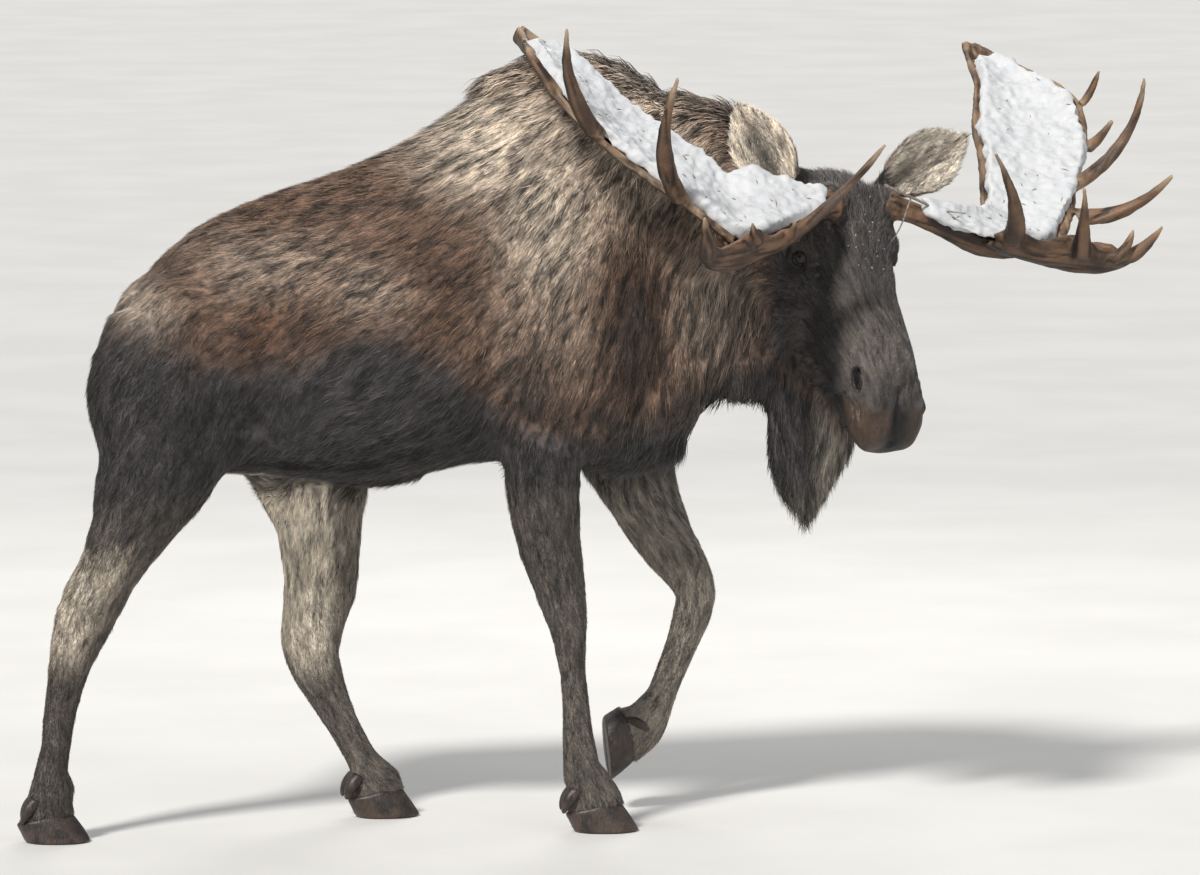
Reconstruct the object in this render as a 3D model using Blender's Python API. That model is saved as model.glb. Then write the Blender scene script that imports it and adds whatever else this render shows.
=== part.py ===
"""A bull moose, life size, as a still standing model.

Metres, +Z up.  The animal faces +X, its right side is towards -Y.  It walks:
three hooves stand on the floor, the left forefoot is lifted and folded back,
and the head is low and turned to its right.  The body is modelled whole, from
lofted trunk, neck and legs and egg-shaped muscles, joined into one surface,
and then parted with thin cuts where a person would name its parts.
"""
import math

import bmesh
import bpy
import numpy as np
from mathutils import Matrix, Vector

# ---- driving dimensions -------------------------------------------------
HEIGHT_SCALE = 1.0          # 1 makes the hump 1.935 high, hair included
WIDTH_SCALE = 1.0           # 1 makes the chest 0.65 wide
SKIN_CELL = 0.014           # cell of the surface that joins the flesh
ANTLER_CELL = 0.005
CUT_GAP = 0.0006            # thickness of a parting cut
SEAT_GAP = 0.0008           # clearance of a piece seated in another
SNOW_GAP = 0.0012           # clearance of the snow over the antler

HEAD_AT = Vector((0.871, -0.22, 1.568))     # between the antler pedicles
HEAD_HEADING = math.radians(-64.0)          # turned to its right
HEAD_PITCH = math.radians(58.0)             # nose held low
HEAD_ROLL = math.radians(3.5)               # left side a little lower

EYE_RADIUS = 0.020
PALM_THICKNESS = 0.022
PALM_CUP = 0.035            # depth of the main palm's bowl
TINE_TIP = 0.008            # radius of a tine's blunt tip
SNOW_DEPTH = 0.040
SNOW_CUP = 0.020
SNOW_LIFT = 0.45            # how far the snow lies above its sheet, in depths
SNOW_TRIM = 0.10            # share of the palm's width left bare at each edge

BODY_TRIANGLES = 2900
ANTLER_TRIANGLES = 780
SNOW_TRIANGLES = 150

# ---- colours: base colour, roughness, metallic ---------------------------
BROWN = ((0.085, 0.052, 0.034), 0.85, 0.0)
DARK_BROWN = ((0.035, 0.024, 0.019), 0.85, 0.0)
GREY_BUFF = ((0.20, 0.155, 0.115), 0.85, 0.0)
HORN_BLACK = ((0.02, 0.018, 0.016), 0.5, 0.0)
ANTLER_BROWN = ((0.21, 0.105, 0.05), 0.55, 0.0)
EYE_DARK = ((0.015, 0.010, 0.008), 0.08, 0.0)
SNOW_WHITE = ((0.85, 0.87, 0.90), 0.6, 0.0)


# ---- small tools ---------------------------------------------------------
def clear_scene():
    for item in list(bpy.data.objects):
        bpy.data.objects.remove(item, do_unlink=True)


def head_axes():
    """Nose, crown and left directions of the turned head."""
    ahead = Vector((math.cos(HEAD_HEADING), math.sin(HEAD_HEADING), 0))
    level_left = Vector((-ahead.y, ahead.x, 0))
    upright = Vector((0, 0, 1))
    left = level_left * math.cos(HEAD_ROLL) - upright * math.sin(HEAD_ROLL)
    over = upright * math.cos(HEAD_ROLL) + level_left * math.sin(HEAD_ROLL)
    nose = ahead * math.cos(HEAD_PITCH) - over * math.sin(HEAD_PITCH)
    crown = ahead * math.sin(HEAD_PITCH) + over * math.cos(HEAD_PITCH)
    return nose, crown, left


NOSE, CROWN, LEFT = head_axes()


def on_head(along, crown, left):
    """World place of a point given along the nose, to the crown and left."""
    return HEAD_AT + NOSE * along + CROWN * crown + LEFT * left


def make_object(name, points, faces):
    mesh = bpy.data.meshes.new(name)
    mesh.from_pydata([tuple(p) for p in points], [], faces)
    mesh.update()
    thing = bpy.data.objects.new(name, mesh)
    bpy.context.scene.collection.objects.link(thing)
    return thing


def ring_solid(name, rings):
    """A closed solid through rings of equal point count."""
    count = len(rings[0])
    points = [p for ring in rings for p in ring]
    faces = []
    for i in range(len(rings) - 1):
        for j in range(count):
            k = (j + 1) % count
            faces.append((i * count + j, i * count + k,
                          (i + 1) * count + k, (i + 1) * count + j))
    faces.append(tuple(reversed(range(count))))
    last = (len(rings) - 1) * count
    faces.append(tuple(last + j for j in range(count)))
    thing = make_object(name, points, faces)
    face_outward(thing)
    return thing


def face_outward(thing):
    work = bmesh.new()
    work.from_mesh(thing.data)
    bmesh.ops.recalc_face_normals(work, faces=work.faces)
    if work.calc_volume(signed=True) < 0:
        bmesh.ops.reverse_faces(work, faces=work.faces)
    work.to_mesh(thing.data)
    work.free()


def smooth_stations(stations, steps):
    """Catmull-Rom rows between the given rows."""
    rows = [np.array(s, float) for s in stations]
    rows = [2 * rows[0] - rows[1]] + rows + [2 * rows[-1] - rows[-2]]
    out = []
    for i in range(1, len(rows) - 2):
        a, b, c, d = rows[i - 1:i + 3]
        for s in range(steps):
            t = s / steps
            out.append(0.5 * (2 * b + (c - a) * t + (2 * a - 5 * b + 4 * c - d) * t ** 2
                              + (3 * b - a - 3 * c + d) * t ** 3))
    out.append(rows[-2])
    return out


def limb(name, stations, side=Vector((0, 1, 0)), sides=14, steps=3):
    """A round-sided limb; a station is x, y, z, half depth, half width."""
    rows = smooth_stations(stations, steps)
    rings = []
    for i, row in enumerate(rows):
        before = Vector(rows[max(i - 1, 0)][:3])
        after = Vector(rows[min(i + 1, len(rows) - 1)][:3])
        along = (after - before).normalized()
        deep = along.cross(side).normalized()
        wide = deep.cross(along).normalized()
        ring = []
        for j in range(sides):
            angle = math.tau * j / sides
            ring.append(Vector(row[:3]) + deep * row[3] * math.cos(angle)
                        + wide * row[4] * math.sin(angle))
        rings.append(ring)
    return ring_solid(name, rings)


def egg(name, centre, radii, axes=None, levels=3):
    """An egg-shaped muscle; axes are the directions of its three radii."""
    work = bmesh.new()
    bmesh.ops.create_icosphere(work, subdivisions=levels, radius=1.0)
    turn = Matrix.Identity(3)
    if axes:
        turn = Matrix([a.normalized() for a in axes]).transposed()
    for v in work.verts:
        stretched = Vector([v.co[i] * radii[i] for i in range(3)])
        v.co = Vector(centre) + turn @ stretched
    mesh = bpy.data.meshes.new(name)
    work.to_mesh(mesh)
    work.free()
    thing = bpy.data.objects.new(name, mesh)
    bpy.context.scene.collection.objects.link(thing)
    face_outward(thing)
    return thing


def join(name, things):
    """One object that holds the meshes of all the given ones."""
    work = bmesh.new()
    for thing in things:
        work.from_mesh(thing.data)
        bpy.data.objects.remove(thing, do_unlink=True)
    mesh = bpy.data.meshes.new(name)
    work.to_mesh(mesh)
    work.free()
    whole = bpy.data.objects.new(name, mesh)
    bpy.context.scene.collection.objects.link(whole)
    return whole


def bake(thing):
    """Apply the object's modifiers to its mesh."""
    bpy.context.view_layer.update()
    graph = bpy.context.evaluated_depsgraph_get()
    mesh = bpy.data.meshes.new_from_object(thing.evaluated_get(graph))
    thing.modifiers.clear()
    thing.data = mesh


def merge_skin(thing, cell, smoothing, triangles):
    """Join overlapping shapes into one surface of about so many triangles."""
    remesh = thing.modifiers.new("skin", "REMESH")
    remesh.mode = "VOXEL"
    remesh.voxel_size = cell
    relax = thing.modifiers.new("relax", "SMOOTH")
    relax.factor = 0.5
    relax.iterations = smoothing
    bake(thing)
    keep_largest(thing)
    reduce = thing.modifiers.new("reduce", "DECIMATE")
    reduce.ratio = min(1.0, triangles / len(thing.data.polygons))
    bake(thing)
    keep_largest(thing)


def keep_largest(thing):
    """Drop every loose island but the largest."""
    work = bmesh.new()
    work.from_mesh(thing.data)
    islands = []
    seen = set()
    for start in work.verts:
        if start in seen:
            continue
        stack = [start]
        island = []
        seen.add(start)
        while stack:
            v = stack.pop()
            island.append(v)
            for e in v.link_edges:
                w = e.other_vert(v)
                if w not in seen:
                    seen.add(w)
                    stack.append(w)
        islands.append(island)
    if len(islands) > 1:
        islands.sort(key=len)
        loose = [v for island in islands[:-1] for v in island]
        bmesh.ops.delete(work, geom=loose, context="VERTS")
    bmesh.ops.triangulate(work, faces=work.faces)
    work.to_mesh(thing.data)
    work.free()


def copy_of(thing, name):
    twin = thing.copy()
    twin.data = thing.data.copy()
    twin.name = name
    bpy.context.scene.collection.objects.link(twin)
    return twin


def combine(thing, tool, operation):
    cut = thing.modifiers.new("cut", "BOOLEAN")
    cut.operation = operation
    cut.solver = "EXACT"
    cut.object = tool
    bake(thing)


def grown(thing, amount):
    """A copy of the object, swollen along its normals."""
    twin = copy_of(thing, "grown")
    work = bmesh.new()
    work.from_mesh(twin.data)
    work.normal_update()
    moves = [v.normal * amount for v in work.verts]
    for v, move in zip(work.verts, moves):
        v.co += move
    work.to_mesh(twin.data)
    work.free()
    return twin


def box_solid(name, points):
    """A box from its eight corners, the last direction running fastest."""
    faces = [(0, 1, 3, 2), (4, 6, 7, 5), (0, 4, 5, 1),
             (2, 3, 7, 6), (0, 2, 6, 4), (1, 5, 7, 3)]
    thing = make_object(name, points, faces)
    face_outward(thing)
    return thing


def box(name, corner, opposite):
    """A level box between two corners."""
    points = []
    for x in (corner[0], opposite[0]):
        for y in (corner[1], opposite[1]):
            for z in (corner[2], opposite[2]):
                points.append((x, y, z))
    return box_solid(name, points)


def slab_axes(normal):
    """Three directions, the first along the given normal."""
    first = Vector(normal).normalized()
    second = first.orthogonal().normalized()
    return first, second, first.cross(second)


def half_space(name, point, normal, reach, depth):
    """A box whose one face passes through the point, on the normal's side."""
    first, second, third = slab_axes(normal)
    middle = Vector(point) + first * depth / 2
    points = []
    for a in (-depth / 2, depth / 2):
        for b in (-reach, reach):
            for c in (-reach, reach):
                points.append(middle + first * a + second * b + third * c)
    return box_solid(name, points)


def divide(body, name, tool, wider_tool):
    """Part what the tool holds from the body; the wider tool leaves a thin gap."""
    piece = copy_of(body, name)
    combine(piece, tool, "INTERSECT")
    combine(body, wider_tool, "DIFFERENCE")
    for used in (tool, wider_tool):
        bpy.data.objects.remove(used, do_unlink=True)
    keep_largest(piece)
    keep_largest(body)
    return piece


def part_off(body, name, point, normal, reach, depth):
    """Cut a piece off the body along a plane."""
    first = Vector(normal).normalized()
    tool = half_space("tool", point, first, reach, depth)
    wider = half_space("wider", Vector(point) - first * CUT_GAP, first,
                       reach + CUT_GAP, depth + 2 * CUT_GAP)
    return divide(body, name, tool, wider)


def cut_box(body, name, corner, opposite):
    """Part off what a box holds; corner is its lowest corner."""
    tool = box("tool", corner, opposite)
    wider = box("wider", [c - CUT_GAP for c in corner], [c + CUT_GAP for c in opposite])
    return divide(body, name, tool, wider)


def seat(thing, neighbours, gap=SEAT_GAP):
    """Trim the piece so that it clears the pieces it sits on."""
    for neighbour in neighbours:
        tool = grown(neighbour, gap)
        combine(thing, tool, "DIFFERENCE")
        bpy.data.objects.remove(tool, do_unlink=True)
    keep_largest(thing)


def paint(thing, finish):
    colour, rough, metallic = finish
    material = bpy.data.materials.new(thing.name)
    material.use_nodes = True
    shader = material.node_tree.nodes["Principled BSDF"]
    shader.inputs["Base Color"].default_value = (*colour, 1)
    shader.inputs["Roughness"].default_value = rough
    shader.inputs["Metallic"].default_value = metallic
    thing.data.materials.clear()
    thing.data.materials.append(material)
    thing.data.shade_smooth()
    thing.data.set_sharp_from_angle(angle=math.radians(40))


# ---- trunk ---------------------------------------------------------------
BACK_POWER = 1.45           # above 1 makes the back pointed
BELLY_POWER = 0.85          # below 1 makes the belly full
# x, back height, belly height, half width, height of the widest place
TRUNK = [
    (-0.965, 1.22, 1.04, 0.07, 1.13),
    (-0.942, 1.29, 0.98, 0.15, 1.14),
    (-0.900, 1.385, 0.94, 0.215, 1.16),
    (-0.835, 1.462, 0.915, 0.255, 1.18),
    (-0.720, 1.545, 0.900, 0.275, 1.20),
    (-0.560, 1.605, 0.885, 0.290, 1.20),
    (-0.400, 1.660, 0.875, 0.310, 1.19),
    (-0.240, 1.730, 0.885, 0.325, 1.19),
    (-0.100, 1.820, 0.910, 0.325, 1.22),
    (0.020, 1.905, 0.920, 0.315, 1.25),
    (0.140, 1.935, 0.910, 0.305, 1.28),
    (0.260, 1.920, 0.885, 0.290, 1.28),
    (0.370, 1.870, 0.900, 0.260, 1.28),
    (0.460, 1.800, 0.980, 0.210, 1.28),
    (0.530, 1.700, 1.070, 0.145, 1.30),
]


def trunk_shape():
    """Deep and narrow: pointed along the back, full along the belly."""
    sides = 28
    rings = []
    for x, top, low, half, wide in smooth_stations(TRUNK, 2):
        ring = []
        for j in range(sides):
            angle = math.tau * j / sides
            c = math.cos(angle)
            s = math.sin(angle)
            power = BACK_POWER if s > 0 else BELLY_POWER
            y = half * math.copysign(abs(c) ** power, c)
            z = wide + (top - wide if s > 0 else wide - low) * s
            ring.append((x, y * WIDTH_SCALE, z * HEIGHT_SCALE))
        rings.append(ring)
    return ring_solid("trunk_shape", rings)


# ---- neck: x, y, z, half depth, half width --------------------------------
NECK = [
    (0.22, 0.000, 1.40, 0.42, 0.22),
    (0.40, -0.015, 1.40, 0.385, 0.215),
    (0.56, -0.055, 1.42, 0.315, 0.195),
    (0.68, -0.105, 1.44, 0.255, 0.165),
    (0.78, -0.150, 1.46, 0.205, 0.140),
    (0.85, -0.185, 1.47, 0.160, 0.120),
]


def neck_shape():
    throat = egg("throat", (0.60, -0.08, 1.20), (0.14, 0.10, 0.14))
    crest = egg("crest", (0.48, -0.02, 1.695), (0.17, 0.085, 0.13))
    return [limb("neck_shape", NECK), throat, crest]


# ---- head: along the nose, crown height, jaw height, half width -----------
# measured from the point between the pedicles
JAW_TAPER = 0.32            # how much the head narrows from cheek to jaw
SIDE_POWER = 0.75           # below 1 makes the sides flat
BRIDGE_POWER = 0.85
HEAD = [
    (-0.140, -0.060, -0.260, 0.060),
    (-0.100, -0.015, -0.335, 0.095),
    (-0.030, 0.022, -0.375, 0.112),
    (0.060, 0.022, -0.390, 0.118),
    (0.140, 0.000, -0.375, 0.116),
    (0.220, -0.012, -0.340, 0.106),
    (0.310, -0.010, -0.305, 0.100),
    (0.400, -0.012, -0.275, 0.098),
    (0.475, -0.032, -0.245, 0.100),
    (0.530, -0.068, -0.238, 0.099),
    (0.572, -0.104, -0.226, 0.095),
    (0.598, -0.135, -0.208, 0.078),
]


def head_shape():
    """Long deep head with a bulging nose that hangs over the mouth."""
    sides = 20
    rings = []
    for along, top, low, half in smooth_stations(HEAD, 2):
        middle = (top + low) / 2
        ring = []
        for j in range(sides):
            angle = math.tau * j / sides
            c = math.cos(angle)
            s = math.sin(angle)
            across = half * math.copysign(abs(c) ** SIDE_POWER, c)
            if s < 0:
                across *= 1 + JAW_TAPER * s
            rise = (top - low) / 2 * math.copysign(abs(s) ** BRIDGE_POWER, s)
            ring.append(on_head(along, middle + rise, across))
        rings.append(ring)
    skull = ring_solid("head_shape", rings)
    things = [skull]
    axes = (NOSE, CROWN, LEFT)
    for side in (-1, 1):
        brow = on_head(0.070, -0.058, side * 0.092)
        things.append(egg("brow", brow, (0.070, 0.045, 0.042), axes))
        cheek = on_head(0.10, -0.24, side * 0.065)
        things.append(egg("cheek", cheek, (0.15, 0.115, 0.052), axes))
        nostril = on_head(0.497, -0.112, side * 0.060)
        things.append(egg("nostril", nostril, (0.075, 0.055, 0.038), axes))
        pedicle = on_head(-0.005, 0.01, side * 0.085)
        things.append(egg("pedicle", pedicle, (0.05, 0.04, 0.045), axes))
    lip = on_head(0.530, -0.175, 0)
    things.append(egg("upper_lip", lip, (0.076, 0.064, 0.084), axes))
    chin = on_head(0.455, -0.258, 0)
    things.append(egg("chin", chin, (0.072, 0.034, 0.045), axes))
    return things


# ---- bell: the hanging flap of skin and hair under the throat --------------
BELL = [
    (0.725, -0.060, 1.24, 0.090, 0.060),
    (0.740, -0.080, 1.09, 0.088, 0.050),
    (0.747, -0.090, 0.985, 0.098, 0.045),
    (0.750, -0.095, 0.912, 0.098, 0.040),
    (0.757, -0.095, 0.842, 0.076, 0.032),
    (0.767, -0.095, 0.782, 0.038, 0.022),
    (0.772, -0.095, 0.750, 0.010, 0.010),
]
BELL_FRONT = [
    (0.835, -0.100, 1.18, 0.055, 0.040),
    (0.847, -0.125, 1.03, 0.052, 0.036),
    (0.833, -0.120, 0.935, 0.048, 0.032),
    (0.809, -0.110, 0.852, 0.030, 0.022),
    (0.797, -0.105, 0.800, 0.010, 0.010),
]


def bell_shape():
    return [limb("bell_rear", BELL), limb("bell_front", BELL_FRONT)]


# ---- legs: x, y, z, half depth, half width ---------------------------------
LEG_FORE_R = [
    (0.150, -0.150, 1.30, 0.150, 0.085),
    (0.115, -0.185, 1.12, 0.135, 0.100),
    (0.085, -0.190, 0.97, 0.112, 0.090),
    (0.084, -0.185, 0.85, 0.098, 0.078),
    (0.098, -0.182, 0.74, 0.086, 0.068),
    (0.122, -0.180, 0.635, 0.073, 0.062),
    (0.143, -0.180, 0.545, 0.058, 0.057),
    (0.152, -0.180, 0.465, 0.042, 0.045),
    (0.163, -0.180, 0.355, 0.0365, 0.036),
    (0.172, -0.180, 0.235, 0.043, 0.038),
    (0.184, -0.180, 0.140, 0.054, 0.046),
    (0.210, -0.180, 0.085, 0.060, 0.050),
    (0.214, -0.180, 0.045, 0.068, 0.051),
]
LEG_FORE_L = [
    (0.260, 0.150, 1.22, 0.160, 0.085),
    (0.300, 0.165, 1.02, 0.150, 0.095),
    (0.355, 0.165, 0.88, 0.118, 0.082),
    (0.395, 0.165, 0.78, 0.096, 0.072),
    (0.445, 0.162, 0.685, 0.080, 0.064),
    (0.495, 0.160, 0.615, 0.066, 0.058),
    (0.521, 0.160, 0.555, 0.056, 0.055),
    (0.506, 0.160, 0.480, 0.050, 0.050),
    (0.468, 0.160, 0.385, 0.043, 0.040),
    (0.432, 0.160, 0.295, 0.043, 0.037),
    (0.402, 0.160, 0.215, 0.048, 0.042),
    (0.374, 0.160, 0.192, 0.056, 0.048),
    (0.345, 0.160, 0.182, 0.066, 0.050),
]
LEG_HIND_R = [
    (-0.830, -0.130, 1.28, 0.170, 0.100),
    (-0.870, -0.165, 1.12, 0.190, 0.125),
    (-0.868, -0.180, 0.97, 0.168, 0.118),
    (-0.915, -0.180, 0.855, 0.135, 0.100),
    (-0.955, -0.178, 0.765, 0.103, 0.080),
    (-0.998, -0.175, 0.680, 0.085, 0.064),
    (-1.042, -0.172, 0.600, 0.083, 0.056),
    (-1.072, -0.170, 0.525, 0.075, 0.056),
    (-1.095, -0.170, 0.450, 0.060, 0.050),
    (-1.118, -0.170, 0.350, 0.048, 0.040),
    (-1.136, -0.170, 0.225, 0.042, 0.038),
    (-1.155, -0.170, 0.120, 0.052, 0.044),
    (-1.156, -0.170, 0.080, 0.060, 0.050),
    (-1.158, -0.170, 0.045, 0.068, 0.051),
]
LEG_HIND_L = [
    (-0.560, 0.130, 1.26, 0.170, 0.100),
    (-0.510, 0.160, 1.10, 0.190, 0.125),
    (-0.475, 0.175, 0.96, 0.180, 0.118),
    (-0.455, 0.170, 0.855, 0.155, 0.100),
    (-0.440, 0.165, 0.755, 0.120, 0.080),
    (-0.436, 0.160, 0.655, 0.104, 0.066),
    (-0.441, 0.155, 0.575, 0.098, 0.058),
    (-0.458, 0.150, 0.500, 0.086, 0.056),
    (-0.462, 0.150, 0.430, 0.080, 0.054),
    (-0.440, 0.150, 0.355, 0.064, 0.048),
    (-0.400, 0.150, 0.270, 0.050, 0.040),
    (-0.352, 0.150, 0.180, 0.044, 0.039),
    (-0.308, 0.150, 0.105, 0.050, 0.044),
    (-0.298, 0.150, 0.078, 0.060, 0.050),
    (-0.299, 0.150, 0.045, 0.068, 0.051),
]


def muscle_shapes():
    """Shoulders, rump and thighs, mirrored unless a leg is swung forward."""
    things = []
    for side in (-1, 1):
        things.append(egg("shoulder", (0.17, side * 0.19, 1.28), (0.20, 0.125, 0.36)))
        things.append(egg("point_of_shoulder", (0.39, side * 0.13, 1.14), (0.13, 0.11, 0.15)))
        things.append(egg("rump", (-0.785, side * 0.135, 1.24), (0.185, 0.12, 0.18)))
    things.append(egg("thigh_R", (-0.80, -0.175, 1.10), (0.20, 0.105, 0.22)))
    things.append(egg("thigh_L", (-0.62, 0.175, 1.10), (0.205, 0.105, 0.22)))
    things.append(egg("brisket", (0.31, -0.01, 0.99), (0.17, 0.14, 0.115)))
    things.append(egg("sheath", (-0.32, 0.0, 0.892), (0.15, 0.045, 0.045)))
    return things


TAIL = [
    (-0.905, 0.000, 1.345, 0.040, 0.040),
    (-0.958, -0.005, 1.270, 0.034, 0.040),
    (-0.985, -0.010, 1.190, 0.028, 0.034),
    (-0.990, -0.012, 1.120, 0.010, 0.014),
]


# ---- hooves ----------------------------------------------------------------
CLAW_LENGTH = 0.158
CLAW_HALF = 0.052
CLAW_HEIGHT = 0.068
CLAW_TOP_RISE = 0.65        # share by which the top rises over one claw length
CLAW_PARTING = 0.0012       # half the cleft between the claws
CLAW_INNER = 0.06           # how far the inner wall bows, as a share of the outer
DEWCLAW_ROOT = (0.022, 0.118)           # out, up
DEWCLAW_TIP = (0.040, 0.030, 0.045)     # further back, out, up
DEWCLAW_RADII = (0.019, 0.008)
# half outline from heel to toe: along, out
CLAW_OUTLINE = [(-0.42, 0.62), (-0.20, 0.92), (0.12, 1.00), (0.38, 0.80), (0.54, 0.30)]
# from sole to top: level, size of the outline, shift along
CLAW_LEVELS = [(0.0, 1.0, 0.0), (0.35, 0.95, -0.07), (0.75, 0.84, -0.16), (1.0, 0.74, -0.21)]


def claw_mesh(name, at, forward, up, side):
    """One claw of a cloven hoof: flat sole, sloping front and top, curved outer wall."""
    across = up.cross(forward).normalized()
    rings = []
    for level, shrink, lean in CLAW_LEVELS:
        points = []
        outer = [(along, out) for along, out in CLAW_OUTLINE]
        inner = [(along, CLAW_INNER * out) for along, out in reversed(CLAW_OUTLINE)]
        for along, out in outer + inner:
            if out > CLAW_INNER:
                out *= shrink
            ahead = along * shrink + lean
            rise = level * CLAW_HEIGHT * (1 + CLAW_TOP_RISE * ahead)
            points.append(at + forward * ahead * CLAW_LENGTH
                          + across * side * (CLAW_PARTING + out * CLAW_HALF) + up * rise)
        rings.append(points)
    return ring_solid(name, rings)


def dewclaw_mesh(name, at, forward, up, side, setback):
    """A small pointed claw behind and above the hoof."""
    across = up.cross(forward).normalized()
    root_out, root_up = DEWCLAW_ROOT
    tip_back, tip_out, tip_up = DEWCLAW_TIP
    root = at - forward * setback + up * root_up + across * side * root_out
    tip = at - forward * (setback + tip_back) + up * tip_up + across * side * tip_out
    return spike(name, root, tip, *DEWCLAW_RADII, 7, steps=3)


SPIKE_TAPER = 1.6           # above 1 keeps a spike thick for longer


def spike(name, base, tip, radius, end_radius, sides, bend=Vector((0, 0, 0)), steps=4):
    """A round spike from base to tip, bowed sideways by the bend."""
    base = Vector(base)
    tip = Vector(tip)
    rings = []
    for i in range(steps + 1):
        t = i / steps
        centre = base.lerp(tip, t) + bend * 4 * t * (1 - t)
        slope = (tip - base) + bend * 4 * (1 - 2 * t)
        second, third = slab_axes(slope)[1:]
        size = end_radius + (radius - end_radius) * (1 - t ** SPIKE_TAPER)
        ring = []
        for j in range(sides):
            angle = math.tau * j / sides
            ring.append(centre + (second * math.cos(angle) + third * math.sin(angle)) * size)
        rings.append(ring)
    return ring_solid(name, rings)


# foot: name, sole centre, forward, up, how far back the dewclaws grow
FEET = [
    ("fore_R", (0.245, -0.180, 0.0), (1.0, -0.05, 0.0), (0, 0, 1), 0.078),
    ("hind_R", (-1.128, -0.170, 0.0), (1.0, -0.05, 0.0), (0, 0, 1), 0.055),
    ("hind_L", (-0.268, 0.150, 0.0), (1.0, 0.06, 0.0), (0, 0, 1), 0.078),
    ("fore_L", (0.290, 0.160, 0.160), (0.10, 0.0, -0.995), (0.995, 0.0, 0.10), 0.040),
]


# ---- eyes and ears, in head places -------------------------------------------
EYE_AT = (0.093, -0.108, 0.136)
SOCKET_OUT = 0.028                      # socket's middle, out from the eye's
SOCKET_RADII = (0.034, 0.024, 0.030)
EAR_ENDS = {
    "R": ((-0.095, -0.075, -0.168), (-0.275, 0.020, -0.297)),
    "L": ((-0.075, -0.045, 0.130), (-0.195, 0.015, 0.390)),
}
EAR_FACES = (-0.1, -1.0, 0.1)
EAR_HALF_WIDTH = 0.068
EAR_WALL = 0.0065                       # half thickness of the ear's shell
EAR_CURL = math.radians(82)             # how far each side curls forward
# from root to tip: place along, share of the full width
EAR_OUTLINE = [(0.0, 0.42), (0.15, 0.66), (0.32, 0.94), (0.48, 1.0),
               (0.68, 0.83), (0.86, 0.48), (1.0, 0.10)]


def ear_mesh(name, root, tip, opening):
    """A cupped leaf: narrow root, broad middle, rounded point."""
    root = Vector(root)
    tip = Vector(tip)
    along = (tip - root).normalized()
    face = (Vector(opening) - along * along.dot(Vector(opening))).normalized()
    across = along.cross(face)
    length = (tip - root).length
    rings = []
    for t, width in EAR_OUTLINE:
        ring = []
        cup = 0.75 * (1 - t) + 0.25
        for shell, order in ((1, range(-4, 5)), (-1, range(4, -5, -1))):
            for j in order:
                angle = j / 4 * EAR_CURL
                radius = width * EAR_HALF_WIDTH
                thick = EAR_WALL * shell * (1.25 - 0.35 * t)
                bow = -math.cos(angle) * radius * cup
                place = root + along * (t * length)
                ring.append(place + across * math.sin(angle) * (radius - thick * 0.3)
                            + face * (bow + thick * math.cos(angle)))
        rings.append(ring)
    return ring_solid(name, rings)


# ---- antlers ----------------------------------------------------------------
# Antler places are sideways, back and crown distances from the pedicles.
def on_antler(side, out, back, rise):
    return on_head(-back, rise, side * out)


BEAM = [
    (0.080, 0.000, 0.005, 0.036),
    (0.150, -0.030, 0.018, 0.029),
    (0.245, -0.075, 0.018, 0.029),
    (0.330, -0.115, 0.015, 0.034),
    (0.400, -0.135, 0.020, 0.042),
]
BURR_AT = (0.088, 0.0, 0.006)
BURR_RADII = (0.022, 0.048, 0.048)
# inner edge and outer edge of the main palm, from the fork to the rear tip
PALM = {
    "R": [((0.385, 0.050, -0.005), (0.500, -0.170, 0.110)),
          ((0.420, 0.115, -0.020), (0.590, -0.060, 0.090)),
          ((0.455, 0.175, -0.038), (0.660, 0.040, 0.050))],
    "L": [((0.385, 0.000, -0.005), (0.500, -0.170, 0.110)),
          ((0.420, 0.080, -0.020), (0.590, -0.060, 0.090)),
          ((0.455, 0.160, -0.038), (0.660, 0.040, 0.050))],
}
PALM_END = [((0.512, 0.280, -0.095), (0.755, 0.165, 0.022)),
            ((0.560, 0.370, -0.120), (0.812, 0.300, -0.010)),
            ((0.605, 0.450, -0.145), (0.800, 0.400, -0.060)),
            ((0.645, 0.540, -0.190), (0.745, 0.520, -0.150)),
            ((0.685, 0.615, -0.225), (0.700, 0.605, -0.215))]
for rows in PALM.values():
    rows += PALM_END
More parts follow.
